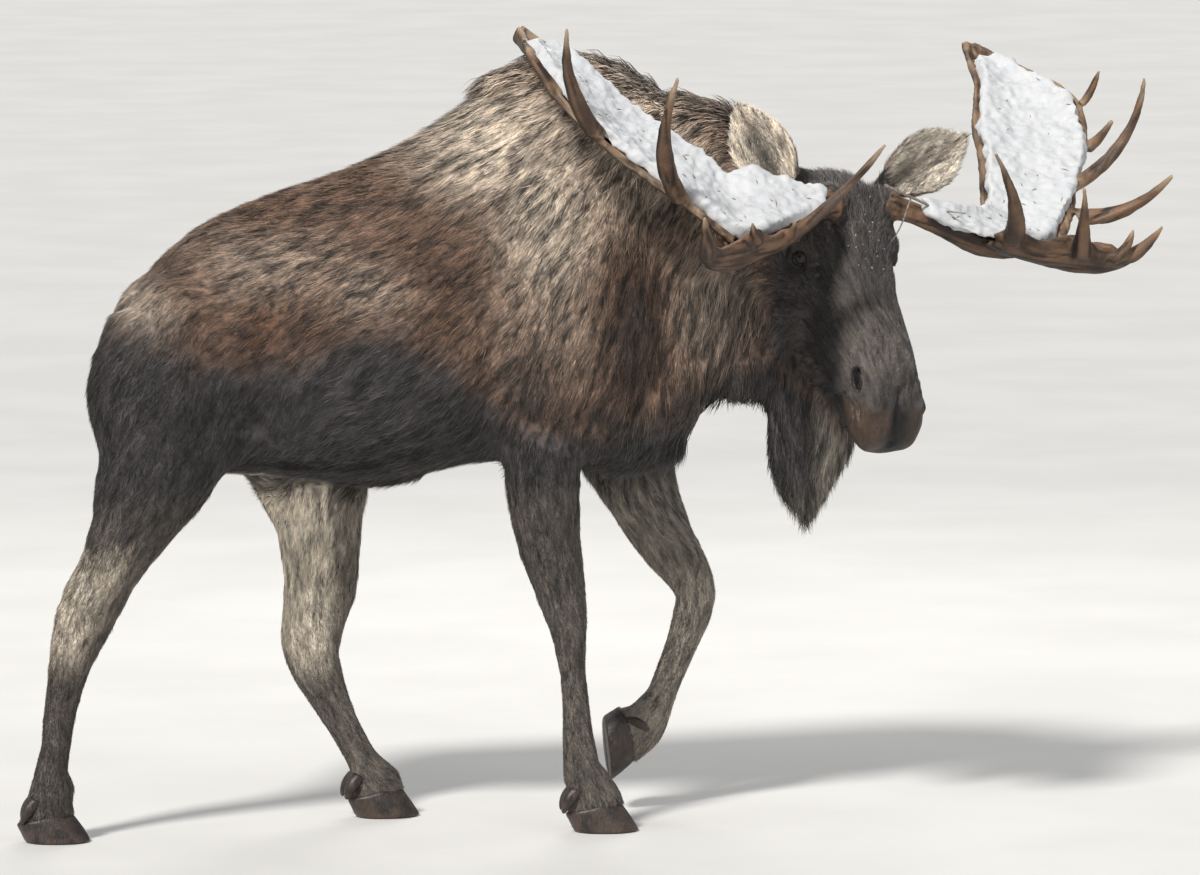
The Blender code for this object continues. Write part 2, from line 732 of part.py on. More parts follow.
# brow palm: rear edge, bottom of its bowl, scalloped front edge
BROW_PALM = {
    "R": [((0.310, -0.085, 0.005), (0.285, -0.145, 0.080), (0.310, -0.154, 0.112)),
          ((0.360, -0.105, 0.015), (0.322, -0.158, 0.088), (0.363, -0.150, 0.145)),
          ((0.400, -0.115, 0.025), (0.371, -0.181, 0.092), (0.431, -0.184, 0.166)),
          ((0.445, -0.125, 0.040), (0.437, -0.207, 0.100), (0.486, -0.178, 0.190)),
          ((0.485, -0.140, 0.060), (0.498, -0.233, 0.110), (0.554, -0.214, 0.198)),
          ((0.535, -0.150, 0.085), (0.563, -0.251, 0.120), (0.617, -0.241, 0.202)),
          ((0.580, -0.150, 0.110), (0.618, -0.257, 0.140), (0.661, -0.229, 0.218)),
          ((0.605, -0.165, 0.130), (0.648, -0.246, 0.165), (0.680, -0.230, 0.215))],
    "L": [((0.300, -0.070, 0.000), (0.315, -0.142, 0.076), (0.300, -0.135, 0.108)),
          ((0.345, -0.095, 0.010), (0.358, -0.165, 0.080), (0.350, -0.129, 0.130)),
          ((0.400, -0.115, 0.025), (0.432, -0.194, 0.088), (0.405, -0.177, 0.150)),
          ((0.450, -0.130, 0.045), (0.497, -0.213, 0.095), (0.463, -0.172, 0.170)),
          ((0.500, -0.145, 0.070), (0.549, -0.230, 0.105), (0.514, -0.180, 0.182)),
          ((0.550, -0.150, 0.095), (0.597, -0.236, 0.117), (0.548, -0.218, 0.184)),
          ((0.600, -0.160, 0.120), (0.640, -0.231, 0.138), (0.592, -0.224, 0.192)),
          ((0.630, -0.180, 0.145), (0.662, -0.226, 0.165), (0.628, -0.224, 0.198))],
}
# rear edge and front edge of the snow, which also fills the fork
SNOW = {
    "R": [((0.175, 0.010, 0.058), (0.190, -0.060, 0.072)),
          ((0.262, 0.045, 0.040), (0.290, -0.105, 0.090)),
          ((0.330, 0.075, 0.018), (0.395, -0.150, 0.116))] + PALM["R"],
    "L": [((0.175, -0.015, 0.046), (0.190, -0.070, 0.062)),
          ((0.260, -0.030, 0.044), (0.285, -0.122, 0.078)),
          ((0.330, -0.035, 0.030), (0.400, -0.150, 0.100))] + PALM["L"],
}
# tines: base, tip, bow, base radius
TINES = {
    "R": [
        ((0.335, -0.160, 0.110), (0.161, -0.030, 0.365), (0.01, -0.02, 0.0), 0.019),
        ((0.355, -0.160, 0.125), (0.364, -0.152, 0.195), (0.0, -0.015, 0.0), 0.018),
        ((0.478, -0.196, 0.165), (0.534, -0.188, 0.240), (0.0, -0.015, 0.0), 0.021),
        ((0.650, -0.252, 0.180), (0.716, -0.207, 0.295), (0.0, -0.015, 0.0), 0.024),
        ((0.600, -0.040, 0.080), (0.722, 0.142, 0.357), (0.045, -0.02, -0.01), 0.026),
        ((0.740, 0.170, 0.015), (0.863, 0.378, 0.173), (0.03, -0.01, -0.01), 0.025),
        ((0.800, 0.300, -0.020), (0.857, 0.422, -0.012), (0.01, 0.0, 0.01), 0.017),
    ],
    "L": [
        ((0.352, -0.150, 0.100), (0.167, -0.048, 0.365), (0.03, -0.03, 0.0), 0.033),
        ((0.520, -0.210, 0.150), (0.435, -0.124, 0.335), (0.0, -0.015, 0.0), 0.029),
        ((0.590, -0.236, 0.170), (0.626, -0.193, 0.250), (0.0, -0.015, 0.0), 0.021),
        ((0.622, -0.236, 0.178), (0.711, -0.186, 0.262), (0.0, -0.015, 0.0), 0.022),
        ((0.600, -0.070, 0.090), (0.758, -0.064, 0.302), (0.02, -0.02, -0.03), 0.023),
        ((0.650, 0.040, 0.045), (0.797, 0.237, 0.269), (0.045, -0.02, -0.01), 0.020),
        ((0.755, 0.165, 0.022), (0.824, 0.222, 0.070), (0.01, 0.0, -0.01), 0.016),
        ((0.808, 0.310, -0.005), (0.839, 0.373, 0.064), (0.01, 0.0, -0.01), 0.013),
    ],
}


def plate(name, side, edges, thickness, cup, lift=0.0, trim=0.0, steps=3):
    """A cupped plate between an inner and an outer edge, through a middle line if given.

    Lift raises it off its own middle sheet, trim draws its edges in."""
    rows = smooth_stations([sum(row, ()) for row in edges], steps)
    count = 8
    rings = []
    for i, row in enumerate(rows):
        inner = on_antler(side, *row[:3])
        outer = on_antler(side, *row[-3:])
        sag = Vector()
        if len(row) > 6:
            sag = on_antler(side, *row[3:6]) - inner.lerp(outer, 0.5)
        nxt = rows[min(i + 1, len(rows) - 1)]
        prv = rows[max(i - 1, 0)]
        ahead = on_antler(side, *nxt[:3]) - on_antler(side, *prv[:3])
        up = ahead.cross(outer - inner).normalized()
        if up.z < 0:
            up = -up
        upper = []
        lower = []
        for j in range(count + 1):
            t = trim + (1 - 2 * trim) * j / count
            bow = cup * ((2 * t - 1) ** 2 - 1)
            swell = math.sqrt(max(0.0, 1 - (2 * j / count - 1) ** 4))
            place = inner.lerp(outer, t) + up * (bow + lift) + sag * 4 * t * (1 - t)
            half = thickness / 2 * max(swell, 0.12)
            upper.append(place + up * half)
            lower.append(place - up * half)
        rings.append(upper + lower[::-1])
    return ring_solid(name, rings)


def antler(side, tag):
    """One antler, whole: beam, brow palm, main palm and their tines."""
    things = []
    rows = [on_antler(side, *b[:3]) for b in BEAM]
    stations = [(*p, b[3], b[3]) for p, b in zip(rows, BEAM)]
    things.append(limb("beam", stations, side=CROWN, sides=10, steps=2))
    burr = on_antler(side, *BURR_AT)
    things.append(egg("burr", burr, BURR_RADII, (LEFT, CROWN, NOSE), 2))
    things.append(plate("palm", side, PALM[tag], PALM_THICKNESS, PALM_CUP))
    things.append(plate("brow", side, BROW_PALM[tag], PALM_THICKNESS, 0.0))
    for base, tip, bow, radius in TINES[tag]:
        start = on_antler(side, *base)
        end = on_antler(side, *tip)
        bend = on_antler(side, *bow) - on_antler(side, 0, 0, 0)
        things.append(spike("tine", start, end, radius, TINE_TIP, 8, bend, 5))
    whole = join("antler_" + tag, things)
    merge_skin(whole, ANTLER_CELL, 2, ANTLER_TRIANGLES)
    return whole


# cuts at the fork: name, a place on the cut, direction of what is cut off
ANTLER_CUTS = [
    ("palm_", (0.400, -0.070, 0.020), (0.06, 0.10, -0.02)),
    ("brow_palm_", (0.370, -0.150, 0.055), (0.03, -0.08, 0.09)),
]


def split_antler(whole, side, tag):
    """Part the antler at its main fork into beam, brow palm and main palm."""
    parts = [whole]
    for name, at, towards in ANTLER_CUTS:
        normal = on_antler(side, *towards) - on_antler(side, 0, 0, 0)
        parts.append(part_off(whole, name + tag, on_antler(side, *at), normal, 1.2, 1.5))
    whole.name = "beam_" + tag
    return parts


def snow(side, tag, antler_whole):
    """The snow that lies in the bowl of the palm."""
    layer = plate("snow_" + tag, side, SNOW[tag], SNOW_DEPTH, SNOW_CUP,
                  lift=SNOW_DEPTH * SNOW_LIFT, trim=SNOW_TRIM, steps=4)
    merge_skin(layer, 2 * ANTLER_CELL, 2, SNOW_TRIANGLES)
    seat(layer, [antler_whole], SNOW_GAP)
    return layer


# ---- the whole animal --------------------------------------------------------
# leg boxes: name, two corners; the cut under the body is the upper face
LEG_BOXES = [
    ("leg_fore_R", (-0.15, -0.45, -0.10), (0.45, -0.01, 0.870)),
    ("leg_fore_L", (0.10, 0.01, -0.10), (0.80, 0.45, 0.870)),
    ("leg_hind_R", (-1.40, -0.45, -0.10), (-0.55, -0.01, 0.860)),
    ("leg_hind_L", (-0.75, 0.01, -0.10), (-0.12, 0.45, 0.860)),
]
BELL_BOX = ((0.55, -0.30, 0.70), (0.88, 0.10, 1.150))
# planes: a place on the cut and the direction of what is cut off
NECK_CUT = ((0.42, 0.0, 1.40), (1.0, 0.0, 0.25))
HEAD_CUT = ((0.765, -0.09, 1.48), (0.67, -0.70, -0.25))


def flesh_pieces():
    """The joined body, parted into trunk, neck, head, bell and legs."""
    flesh = [trunk_shape()] + muscle_shapes() + neck_shape() + head_shape() + bell_shape()
    for name, stations in (("fore_R", LEG_FORE_R), ("fore_L", LEG_FORE_L),
                           ("hind_R", LEG_HIND_R), ("hind_L", LEG_HIND_L)):
        flesh.append(limb("leg_" + name, stations))
    trunk = join("trunk", flesh)
    merge_skin(trunk, SKIN_CELL, 4, BODY_TRIANGLES)
    pieces = {"trunk": trunk}
    for name, corner, opposite in LEG_BOXES:
        pieces[name] = cut_box(trunk, name, corner, opposite)
    neck = part_off(trunk, "neck", *NECK_CUT, 1.0, 1.2)
    pieces["neck"] = neck
    pieces["bell"] = cut_box(neck, "bell", *BELL_BOX)
    pieces["head"] = part_off(neck, "head", *HEAD_CUT, 0.8, 0.9)
    return pieces


def fit_hooves(pieces):
    """Cut each leg off flat above its hoof and hang the claws on it."""
    horn = {}
    for name, at, forward, up, setback in FEET:
        up = Vector(up).normalized()
        at = Vector(at)
        forward = Vector(forward).normalized()
        leg = pieces["leg_" + name]
        slope = CLAW_HEIGHT * CLAW_TOP_RISE / CLAW_LENGTH
        down = (forward * slope - up).normalized()
        tool = half_space("tool", at + up * (CLAW_HEIGHT + CUT_GAP), down, 0.14, 0.16)
        combine(leg, tool, "DIFFERENCE")
        bpy.data.objects.remove(tool, do_unlink=True)
        keep_largest(leg)
        for side, tag in ((-1, "R"), (1, "L")):
            claw = "hoof_" + name + "_" + tag
            horn[claw] = claw_mesh(claw, at, forward, up, side)
        claws = list(horn.values())[-2:]
        for side, tag in ((-1, "R"), (1, "L")):
            spur = "dewclaw_" + name + "_" + tag
            horn[spur] = dewclaw_mesh(spur, at, forward, up, side, setback)
            seat(horn[spur], [leg] + claws)
    return horn


def fit_face(pieces, side, tag):
    """Eye in its socket, ear and antler seated on the head."""
    head = pieces["head"]
    axes = (NOSE, CROWN, LEFT)
    along, crown, out = EYE_AT
    socket = egg("socket", on_head(along, crown, side * (out + SOCKET_OUT)),
                 SOCKET_RADII, axes, 2)
    combine(head, socket, "DIFFERENCE")
    bpy.data.objects.remove(socket, do_unlink=True)
    eye = egg("eye_" + tag, on_head(along, crown, side * out), (EYE_RADIUS,) * 3, None, 2)
    seat(head, [eye])
    root, tip = EAR_ENDS[tag]
    ear = ear_mesh("ear_" + tag, on_head(*root), on_head(*tip), EAR_FACES)
    seat(ear, [head, pieces["neck"]])
    whole = antler(side, tag)
    seat(whole, [head])
    load = snow(side, tag, whole)
    seat(load, [head])
    horns = split_antler(whole, side, tag)
    return eye, ear, load, horns


def centre_on_floor(things):
    """Shift everything so that the origin is the box's bottom centre."""
    points = [v.co for thing in things for v in thing.data.vertices]
    low = [min(p[i] for p in points) for i in range(3)]
    high = [max(p[i] for p in points) for i in range(3)]
    shift = Vector(((low[0] + high[0]) / 2, (low[1] + high[1]) / 2, low[2]))
    for thing in things:
        thing.data.transform(Matrix.Translation(-shift))


def build():
    clear_scene()
    pieces = flesh_pieces()
    tail = limb("tail", TAIL, sides=10, steps=2)
    seat(tail, [pieces["trunk"]])
    pieces["tail"] = tail
    finished = []
    for side, tag in ((-1, "R"), (1, "L")):
        eye, ear, load, horns = fit_face(pieces, side, tag)
        finished += [(eye, EYE_DARK), (ear, GREY_BUFF), (load, SNOW_WHITE)]
        finished += [(horn, ANTLER_BROWN) for horn in horns]
    finished += [(claw, HORN_BLACK) for claw in fit_hooves(pieces).values()]
    coats = {"head": DARK_BROWN, "bell": DARK_BROWN, "leg_hind_L": GREY_BUFF,
             "leg_hind_R": GREY_BUFF}
    finished += [(piece, coats.get(name, BROWN)) for name, piece in pieces.items()]
    for thing, finish in finished:
        paint(thing, finish)
    centre_on_floor([thing for thing, finish in finished])


build()
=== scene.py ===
"""A bull moose on a pale floor, walking with its head low and turned to its right.

Metres, +X ahead, +Y to the animal's left, +Z up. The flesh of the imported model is
replaced by one skin and its coat of hair locks; antlers, snow, eyes and hooves are
separate pieces.
"""
import math

import bmesh
import bpy
import numpy as np
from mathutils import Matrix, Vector
from mathutils.bvhtree import BVHTree


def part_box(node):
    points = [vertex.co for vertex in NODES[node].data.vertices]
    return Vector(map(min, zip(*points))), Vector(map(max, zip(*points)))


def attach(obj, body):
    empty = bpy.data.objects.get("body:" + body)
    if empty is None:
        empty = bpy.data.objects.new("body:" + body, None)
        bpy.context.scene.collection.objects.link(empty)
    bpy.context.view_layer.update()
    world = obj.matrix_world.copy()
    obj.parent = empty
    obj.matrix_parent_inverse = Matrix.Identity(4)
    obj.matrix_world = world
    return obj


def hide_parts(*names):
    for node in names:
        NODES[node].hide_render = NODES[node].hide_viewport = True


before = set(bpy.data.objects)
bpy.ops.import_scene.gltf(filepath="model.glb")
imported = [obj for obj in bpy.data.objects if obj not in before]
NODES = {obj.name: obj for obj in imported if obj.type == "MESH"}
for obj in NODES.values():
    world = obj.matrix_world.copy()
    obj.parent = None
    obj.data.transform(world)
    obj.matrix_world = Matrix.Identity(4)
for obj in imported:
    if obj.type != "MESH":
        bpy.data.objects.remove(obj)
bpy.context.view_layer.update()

BODY = "root"
rng = np.random.default_rng(7)

# ---- sizes -----------------------------------------------------------------
SKIN_CELL = 0.007           # cells of the skin, antlers and snow when they are remeshed
ANTLER_CELL = 0.0038
SNOW_CELL = 0.006
SKIN_TRIANGLES = 185000
PIECE_TRIANGLES = 190000    # the most that one piece of the coat has
MEDIUM_LOCKS = 185000
SHORT_LOCKS = 150000
LONG_LOCKS = 9000
LOCK_PATCH = 0.003          # size of a lock's patch on the skin's unwrap
PALM_THICKNESS = 0.020
PALM_CUP = 0.035            # how deep a palm is bowled
SNOW_DEPTH = 0.034
SNOW_CUP = 0.020
EYE_RADIUS = 0.0200
LID_RADIUS = 0.0225         # from the middle of the eye to the front of its lids
EYE_HALF = 0.0175           # half length and half height of the lid opening
EYE_ARCH = 0.0138
LID_RIM, LID_CORNER = 0.0021, 0.0012    # radius of a lid's rim, and at its corners
BLANK_RADIUS = 0.05         # round blank that a claw or pastern is shaped from
BLANK_HEIGHT = 0.1

# ---- places ----------------------------------------------------------------
# how far the head is turned to the right, tipped down and leaned over
HEADING = math.radians(-64.0)
PITCH = math.radians(58.0)
ROLL = math.radians(3.5)


def head_axes():
    """Nose, crown and left directions of the turned head."""
    ahead = Vector((math.cos(HEADING), math.sin(HEADING), 0))
    level_left = Vector((-ahead.y, ahead.x, 0))
    upright = Vector((0, 0, 1))
    left = level_left * math.cos(ROLL) - upright * math.sin(ROLL)
    over = upright * math.cos(ROLL) + level_left * math.sin(ROLL)
    nose = ahead * math.cos(PITCH) - over * math.sin(PITCH)
    crown = ahead * math.sin(PITCH) + over * math.cos(PITCH)
    return nose, crown, left


NOSE, CROWN, LEFT = head_axes()


def middle(node):
    """Middle of a CAD node's box."""
    low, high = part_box(node)
    return (low + high) / 2


# the eyes from the pedicles, and the pedicles from the floor below the shoulders
EYE_ALONG, EYE_CROWN, EYE_OUT = 0.093, -0.108, 0.136
PEDICLES = Vector((0.871, -0.22, 1.568))
HEAD_AT = ((middle("eye_L") + middle("eye_R")) / 2
           - NOSE * EYE_ALONG - CROWN * EYE_CROWN)
BODY_AT = HEAD_AT - PEDICLES


def on_head(along, crown, left):
    """A place from the pedicles: along the nose, to the crown and to the left."""
    return HEAD_AT + NOSE * along + CROWN * crown + LEFT * left


def on_body(x, y, z):
    """A place from the point on the floor below the shoulders."""
    return BODY_AT + Vector((x, y, z))


def on_antler(side, out, back, rise):
    """A place from the pedicles: outwards, to the back of the head, and up."""
    return on_head(-back, rise, side * out)


# ---- materials --------------------------------------------------------------
class Value:
    """A socket that can be written in sums and products."""

    def __init__(self, finish, socket):
        self.finish = finish
        self.socket = socket

    def maths(self, operation, *values):
        return self.finish.node("ShaderNodeMath", {"operation": operation}, *values)

    def __add__(self, other):
        return self.maths("ADD", self, other)

    __radd__ = __add__

    def __mul__(self, other):
        return self.maths("MULTIPLY", self, other)

    __rmul__ = __mul__

    def __sub__(self, other):
        return self.maths("SUBTRACT", self, other)

    def __rsub__(self, other):
        return self.maths("SUBTRACT", other, self)

    def clamp(self):
        return self.finish.node("ShaderNodeClamp", {}, self)

    def between(self, low, high):
        """0 below low, 1 above high, smooth between."""
        return self.finish.node("ShaderNodeMapRange", {"interpolation_type": "SMOOTHSTEP"},
                                self, low, high)


class Finish:
    """A material made from nodes round one Principled shader."""

    def __init__(self, name, roughness, **constants):
        self.material = bpy.data.materials.new(name)
        self.material.use_nodes = True
        self.tree = self.material.node_tree
        self.shader = self.tree.nodes["Principled BSDF"]
        self.shader.inputs["Roughness"].default_value = roughness
        for key, value in constants.items():
            self.shader.inputs[key.replace("_", " ")].default_value = value
        self.material.diffuse_color = (0.3, 0.3, 0.3, 1)

    def connect(self, value, socket):
        if isinstance(value, Value):
            self.tree.links.new(value.socket, socket)
        elif hasattr(value, "__len__") and len(value) == 3 and socket.type == "RGBA":
            socket.default_value = (*value, 1)
        else:
            socket.default_value = value

    def node(self, kind, settings, *values, out=0, **named):
        node = self.tree.nodes.new(kind)
        for key, value in settings.items():
            setattr(node, key, value)
        for socket, value in zip(node.inputs, values):
            self.connect(value, socket)
        for key, value in named.items():
            self.connect(value, node.inputs[key.replace("_", " ")])
        return Value(self, node.outputs[out])

    def place(self):
        """Object coordinates."""
        return self.node("ShaderNodeTexCoord", {}, out="Object")

    def attribute(self, name, out="Color"):
        return self.node("ShaderNodeAttribute", {"attribute_name": name}, out=out)

    def parts(self, colour):
        """The three values of a colour or vector."""
        node = self.tree.nodes.new("ShaderNodeSeparateXYZ")
        self.connect(colour, node.inputs[0])
        return [Value(self, socket) for socket in node.outputs]

    def mix(self, amount, first, second, blend="MIX"):
        node = self.tree.nodes.new("ShaderNodeMix")
        node.data_type = "RGBA"
        node.blend_type = blend
        self.connect(amount, node.inputs[0])
        self.connect(first, node.inputs[6])
        self.connect(second, node.inputs[7])
        return Value(self, node.outputs[2])

    def scaled(self, vector, amounts):
        return self.node("ShaderNodeVectorMath", {"operation": "MULTIPLY"}, vector, amounts)

    def noise(self, scale, detail=3.0, vector=None, roughness=0.5):
        return self.node("ShaderNodeTexNoise", {}, Vector=vector or self.place(),
                         Scale=scale, Detail=detail, Roughness=roughness)

    def lighten(self, colour, amount):
        """A colour made darker or lighter by a value."""
        return self.node("ShaderNodeVectorMath", {"operation": "SCALE"}, colour, Scale=amount)

    def colour(self, value):
        self.connect(value, self.shader.inputs["Base Color"])

    def rough(self, value):
        self.connect(value, self.shader.inputs["Roughness"])

    def bump(self, height, distance):
        bump = self.node("ShaderNodeBump", {}, Strength=1.0, Distance=distance, Height=height)
        self.connect(bump, self.shader.inputs["Normal"])


BROWN_HAIR = (0.205, 0.124, 0.084)
GREY_HAIR = (0.80, 0.68, 0.55)
RUST_HAIR = (0.080, 0.032, 0.012)
BLACK_HAIR = (0.056, 0.050, 0.050)
PALE_HAIR = (0.96, 0.85, 0.69)
FROST_HAIR = (0.62, 0.56, 0.48)
BARE_SKIN = (0.105, 0.066, 0.044)
BARE_SKIN_DARK_AND_SHADE = (0.009, 0.006, 0.005)
BONE_DARK, BONE_BROWN = (0.050, 0.026, 0.014), (0.160, 0.082, 0.040)
BONE_GROOVE, BONE_WORN = (0.022, 0.011, 0.006), (0.36, 0.265, 0.17)
SNOW_PAINTED_SHADE, SNOW_WHITE = (0.50, 0.51, 0.525), (0.54, 0.545, 0.55)
HORN_BLACK, HORN_BROWN = (0.014, 0.011, 0.010), (0.040, 0.026, 0.019)
HORN_WORN, HORN_DUST = (0.070, 0.044, 0.033), (0.16, 0.13, 0.11)
IRIS_DARK, IRIS_LIGHT = (0.022, 0.011, 0.006), (0.050, 0.024, 0.011)
PUPIL, EYE_WHITE = (0.001, 0.001, 0.001), (0.040, 0.026, 0.022)


def pelt_colour(finish):
    """The colour of the coat from its markings; the same for the skin and the hair."""
    marks = finish.attribute("markings")
    pale = finish.attribute("markings", "Alpha")
    grey, rust, dark = finish.parts(marks)
    colour = finish.mix(grey, BROWN_HAIR, GREY_HAIR)
    colour = finish.mix(rust, colour, RUST_HAIR)
    colour = finish.mix(dark, colour, BLACK_HAIR)
    return finish.mix(pale, colour, PALE_HAIR)


def fur_finish(name):
    """Hair: dark at the root, light at the tip, each lock its own shade."""
    finish = Finish(name, 0.62, Specular_IOR_Level=0.32, Sheen_Weight=0.10,
                    Sheen_Roughness=0.5)
    along, tone, streak = finish.parts(finish.attribute("hair"))
    shade = (0.36 + 0.76 * along) * (0.42 + 1.16 * tone) * (0.05 + 1.90 * streak)
    marks = finish.attribute("markings")
    _, rust, dark = finish.parts(marks)
    pale = finish.attribute("markings", "Alpha")
    tips = along.between(0.4, 1.0) * tone.between(0.45, 0.95)
    tips = tips * (0.50 - 0.32 * dark - 0.34 * rust + 0.7 * pale)
    colour = finish.lighten(pelt_colour(finish), shade)
    finish.colour(finish.mix((tips * (0.3 + 1.4 * streak)).clamp(), colour, FROST_HAIR))
    finish.rough(0.46 + 0.25 * tone)
    return finish.material


def skin_finish():
    """Hide under the coat, and the bare, wrinkled skin of the muzzle and lids, with painted
    shade in its nostrils, nose cleft and creases.
    """
    finish = Finish("hide", 0.6, Specular_IOR_Level=0.35)
    _, tone, streak = finish.parts(finish.attribute("hair"))
    bare = finish.attribute("hair", "Alpha")
    place = finish.place()
    fine = finish.noise(420.0, 2.0)
    shade = (0.42 + 0.5 * fine) * (0.15 + 1.5 * streak)
    coat = finish.lighten(pelt_colour(finish), shade)
    wrinkle = finish.noise(95.0, 5.0)
    folds = finish.noise(1.0, 4.0, finish.scaled(place, (150.0, 150.0, 45.0)))
    # painted shade: tone brings the dark skin and the painted shade of nostrils and nose cleft;
    # the colour also darkens where wrinkles and folds sink the bump
    naked = finish.lighten(finish.mix(tone, BARE_SKIN_DARK_AND_SHADE, BARE_SKIN),
                           (0.30 + 0.75 * wrinkle) * (0.4 + 1.1 * folds))
    finish.colour(finish.mix(bare, coat, naked))
    finish.rough(0.66 - 0.22 * bare)
    pores = finish.node("ShaderNodeTexVoronoi", {"feature": "DISTANCE_TO_EDGE"},
                        Vector=place, Scale=260.0)
    relief = 0.5 * wrinkle + 0.6 * folds + 0.4 * pores.between(0.0, 0.12)
    finish.bump(fine * (1 - bare) + bare * relief, 0.0016)
    return finish.material


def antler_finish():
    """Bone, stained brown, worn pale on tips and ridges, grooved along its length, with painted
    shade on its underside.
    """
    finish = Finish("antler_bone", 0.5, Specular_IOR_Level=0.45)
    wear, edge, groove = finish.parts(finish.attribute("wear"))
    groove = groove + 0.30 * (finish.noise(140.0, 3.0) - 0.5)
    stain = finish.noise(11.0, 4.0)
    speck = finish.noise(230.0, 3.0)
    brown = finish.mix(stain.between(0.35, 0.68), BONE_DARK, BONE_BROWN)
    streaked = finish.mix(groove.between(0.52, 0.80), brown, BONE_GROOVE)
    worn = (wear + 0.30 * edge * stain.between(0.40, 0.60)
            + 0.30 * (1 - groove.between(0.25, 0.5)) * (0.3 + 0.7 * edge)).clamp()
    bone = finish.mix(worn, streaked, BONE_WORN)
    # painted shade on the underside, read from the alpha of the wear attribute
    over = 1 - 0.70 * finish.attribute("wear", "Alpha")
    finish.colour(finish.lighten(bone, (0.72 + 0.5 * speck) * over))
    finish.rough(0.42 + 0.3 * speck)
    pits = finish.node("ShaderNodeTexVoronoi", {}, Vector=finish.place(), Scale=170.0)
    finish.bump(groove * -0.8 + 0.25 * speck + 0.12 * pits, 0.0032)
    return finish.material


def snow_finish():
    """Settled snow: off-white, grainy, its lumps in two shades, the greyer one painted shade in
    their low parts.
    """
    finish = Finish("old_snow", 0.55, Specular_IOR_Level=0.4, Subsurface_Weight=0.0)
    grain = finish.noise(260.0, 4.0)
    lump = finish.noise(28.0, 4.0)
    # painted shade: the low parts of the lumps, which the bump sinks, take the greyer colour
    colour = finish.mix(lump.between(0.35, 0.65), SNOW_PAINTED_SHADE, SNOW_WHITE)
    finish.colour(finish.lighten(colour, 0.90 + 0.18 * grain))
    finish.rough(0.35 + 0.45 * grain)
    finish.bump(0.5 * grain + 0.8 * lump, 0.0028)
    return finish.material


def hoof_finish():
    """Black-brown horn, streaked down its wall, reddish and worn near the ground."""
    finish = Finish("hoof_horn", 0.4, Specular_IOR_Level=0.45)
    place = finish.place()
    wander = finish.noise(26.0, 4.0)
    low = 1 - finish.parts(place)[2].between(0.004, 0.055)
    scratch = finish.noise(1.0, 4.0, finish.scaled(place, (420.0, 420.0, 60.0)))
    horn = finish.mix(wander.between(0.35, 0.65), HORN_BLACK, HORN_BROWN)
    horn = finish.mix(low * wander.between(0.35, 0.6) * 0.6, horn, HORN_WORN)
    dust = scratch.between(0.50, 0.80) * (0.25 + 0.4 * wander)
    finish.colour(finish.mix(dust, horn, HORN_DUST))
    finish.rough(0.40 + 0.4 * dust)
    finish.bump(0.5 * wander + scratch, 0.0010)
    return finish.material


def eye_finish():
    """A wet brown eye; pupil and iris lie round the eye's own axis."""
    finish = Finish("wet_eye", 0.03, Specular_IOR_Level=0.35)
    gaze = finish.parts(finish.attribute("gaze", "Vector"))[0]
    fibres = finish.noise(900.0, 2.0)
    iris = finish.lighten(finish.mix(fibres, IRIS_DARK, IRIS_LIGHT), 0.9)
    inner = finish.mix(gaze.between(0.30, 0.42), PUPIL, iris)
    finish.colour(finish.mix(gaze.between(0.70, 0.80), inner, EYE_WHITE))
    return finish.material


# darker and lighter shade, waves of mottle in a metre, roughness, relief
PLAIN_FINISHES = {
    "pale_floor": ((0.60, 0.59, 0.57), (0.64, 0.63, 0.61), 1.5, 0.8, 0.0),
    "dead_wood": ((0.10, 0.085, 0.075), (0.26, 0.23, 0.20), 160.0, 0.8, 0.001),
    "litter": ((0.05, 0.035, 0.02), (0.30, 0.19, 0.10), 60.0, 0.8, 0.001),
    "ice_and_chips": ((0.55, 0.50, 0.45), (0.85, 0.83, 0.82), 90.0, 0.5, 0.001),
    "lid_skin": ((0.012, 0.009, 0.008), (0.035, 0.027, 0.024), 300.0, 0.4, 0.001),
}


def plain_finish(name):
    """Floor, bark, litter, chips, lids: two shades through noise, with a little relief."""
    dark, light, scale, roughness, bump = PLAIN_FINISHES[name]
    finish = Finish(name, roughness)
    mottle = finish.noise(scale, 5.0)
    finish.colour(finish.mix(mottle.between(0.3, 0.7), dark, light))
    finish.bump(mottle, bump)
    return finish.material


# ---- modelling ---------------------------------------------------------------
def nothing_selected():
    if bpy.context.object and bpy.context.object.mode != "OBJECT":
        bpy.ops.object.mode_set(mode="OBJECT")
    bpy.ops.object.select_all(action="DESELECT")


def only(thing):
    """Selects one object and makes it active."""
    nothing_selected()
    thing.select_set(True)
    bpy.context.view_layer.objects.active = thing
    return thing


def apply_modifier(thing, kind, **settings):
    only(thing)
    modifier = thing.modifiers.new(kind.lower(), kind)
    for key, value in settings.items():
        setattr(modifier, key, value)
    bpy.ops.object.modifier_apply(modifier=modifier.name)
    return thing


def joined(name, things):
    """One object of several, at the origin, unturned and unscaled."""
    nothing_selected()
    for thing in things:
        thing.select_set(True)
    bpy.context.view_layer.objects.active = things[0]
    if len(things) > 1:
        bpy.ops.object.join()
    things[0].name = name
    things[0].data.name = name
    bpy.ops.object.transform_apply(location=True, rotation=True, scale=True)
    return things[0]


def cleaned(thing, weld=0.00001):
    """Doubles merged and faces turned outwards."""
    only(thing)
    bpy.ops.object.mode_set(mode="EDIT")
    bpy.ops.mesh.select_all(action="SELECT")
    bpy.ops.mesh.remove_doubles(threshold=weld)
    bpy.ops.mesh.normals_make_consistent(inside=False)
    bpy.ops.object.mode_set(mode="OBJECT")
    return thing


def placed(name, data):
    """A new object in the scene."""
    thing = bpy.data.objects.new(name, data)
    bpy.context.scene.collection.objects.link(thing)
    return thing


def copy_of(nodes, name):
    """A loose copy of CAD nodes, with their doubles merged."""
    things = []
    for node in nodes:
        thing = placed(node + "_copy", NODES[node].data.copy())
        thing.data.materials.clear()
        things.append(thing)
    return cleaned(joined(name, things))


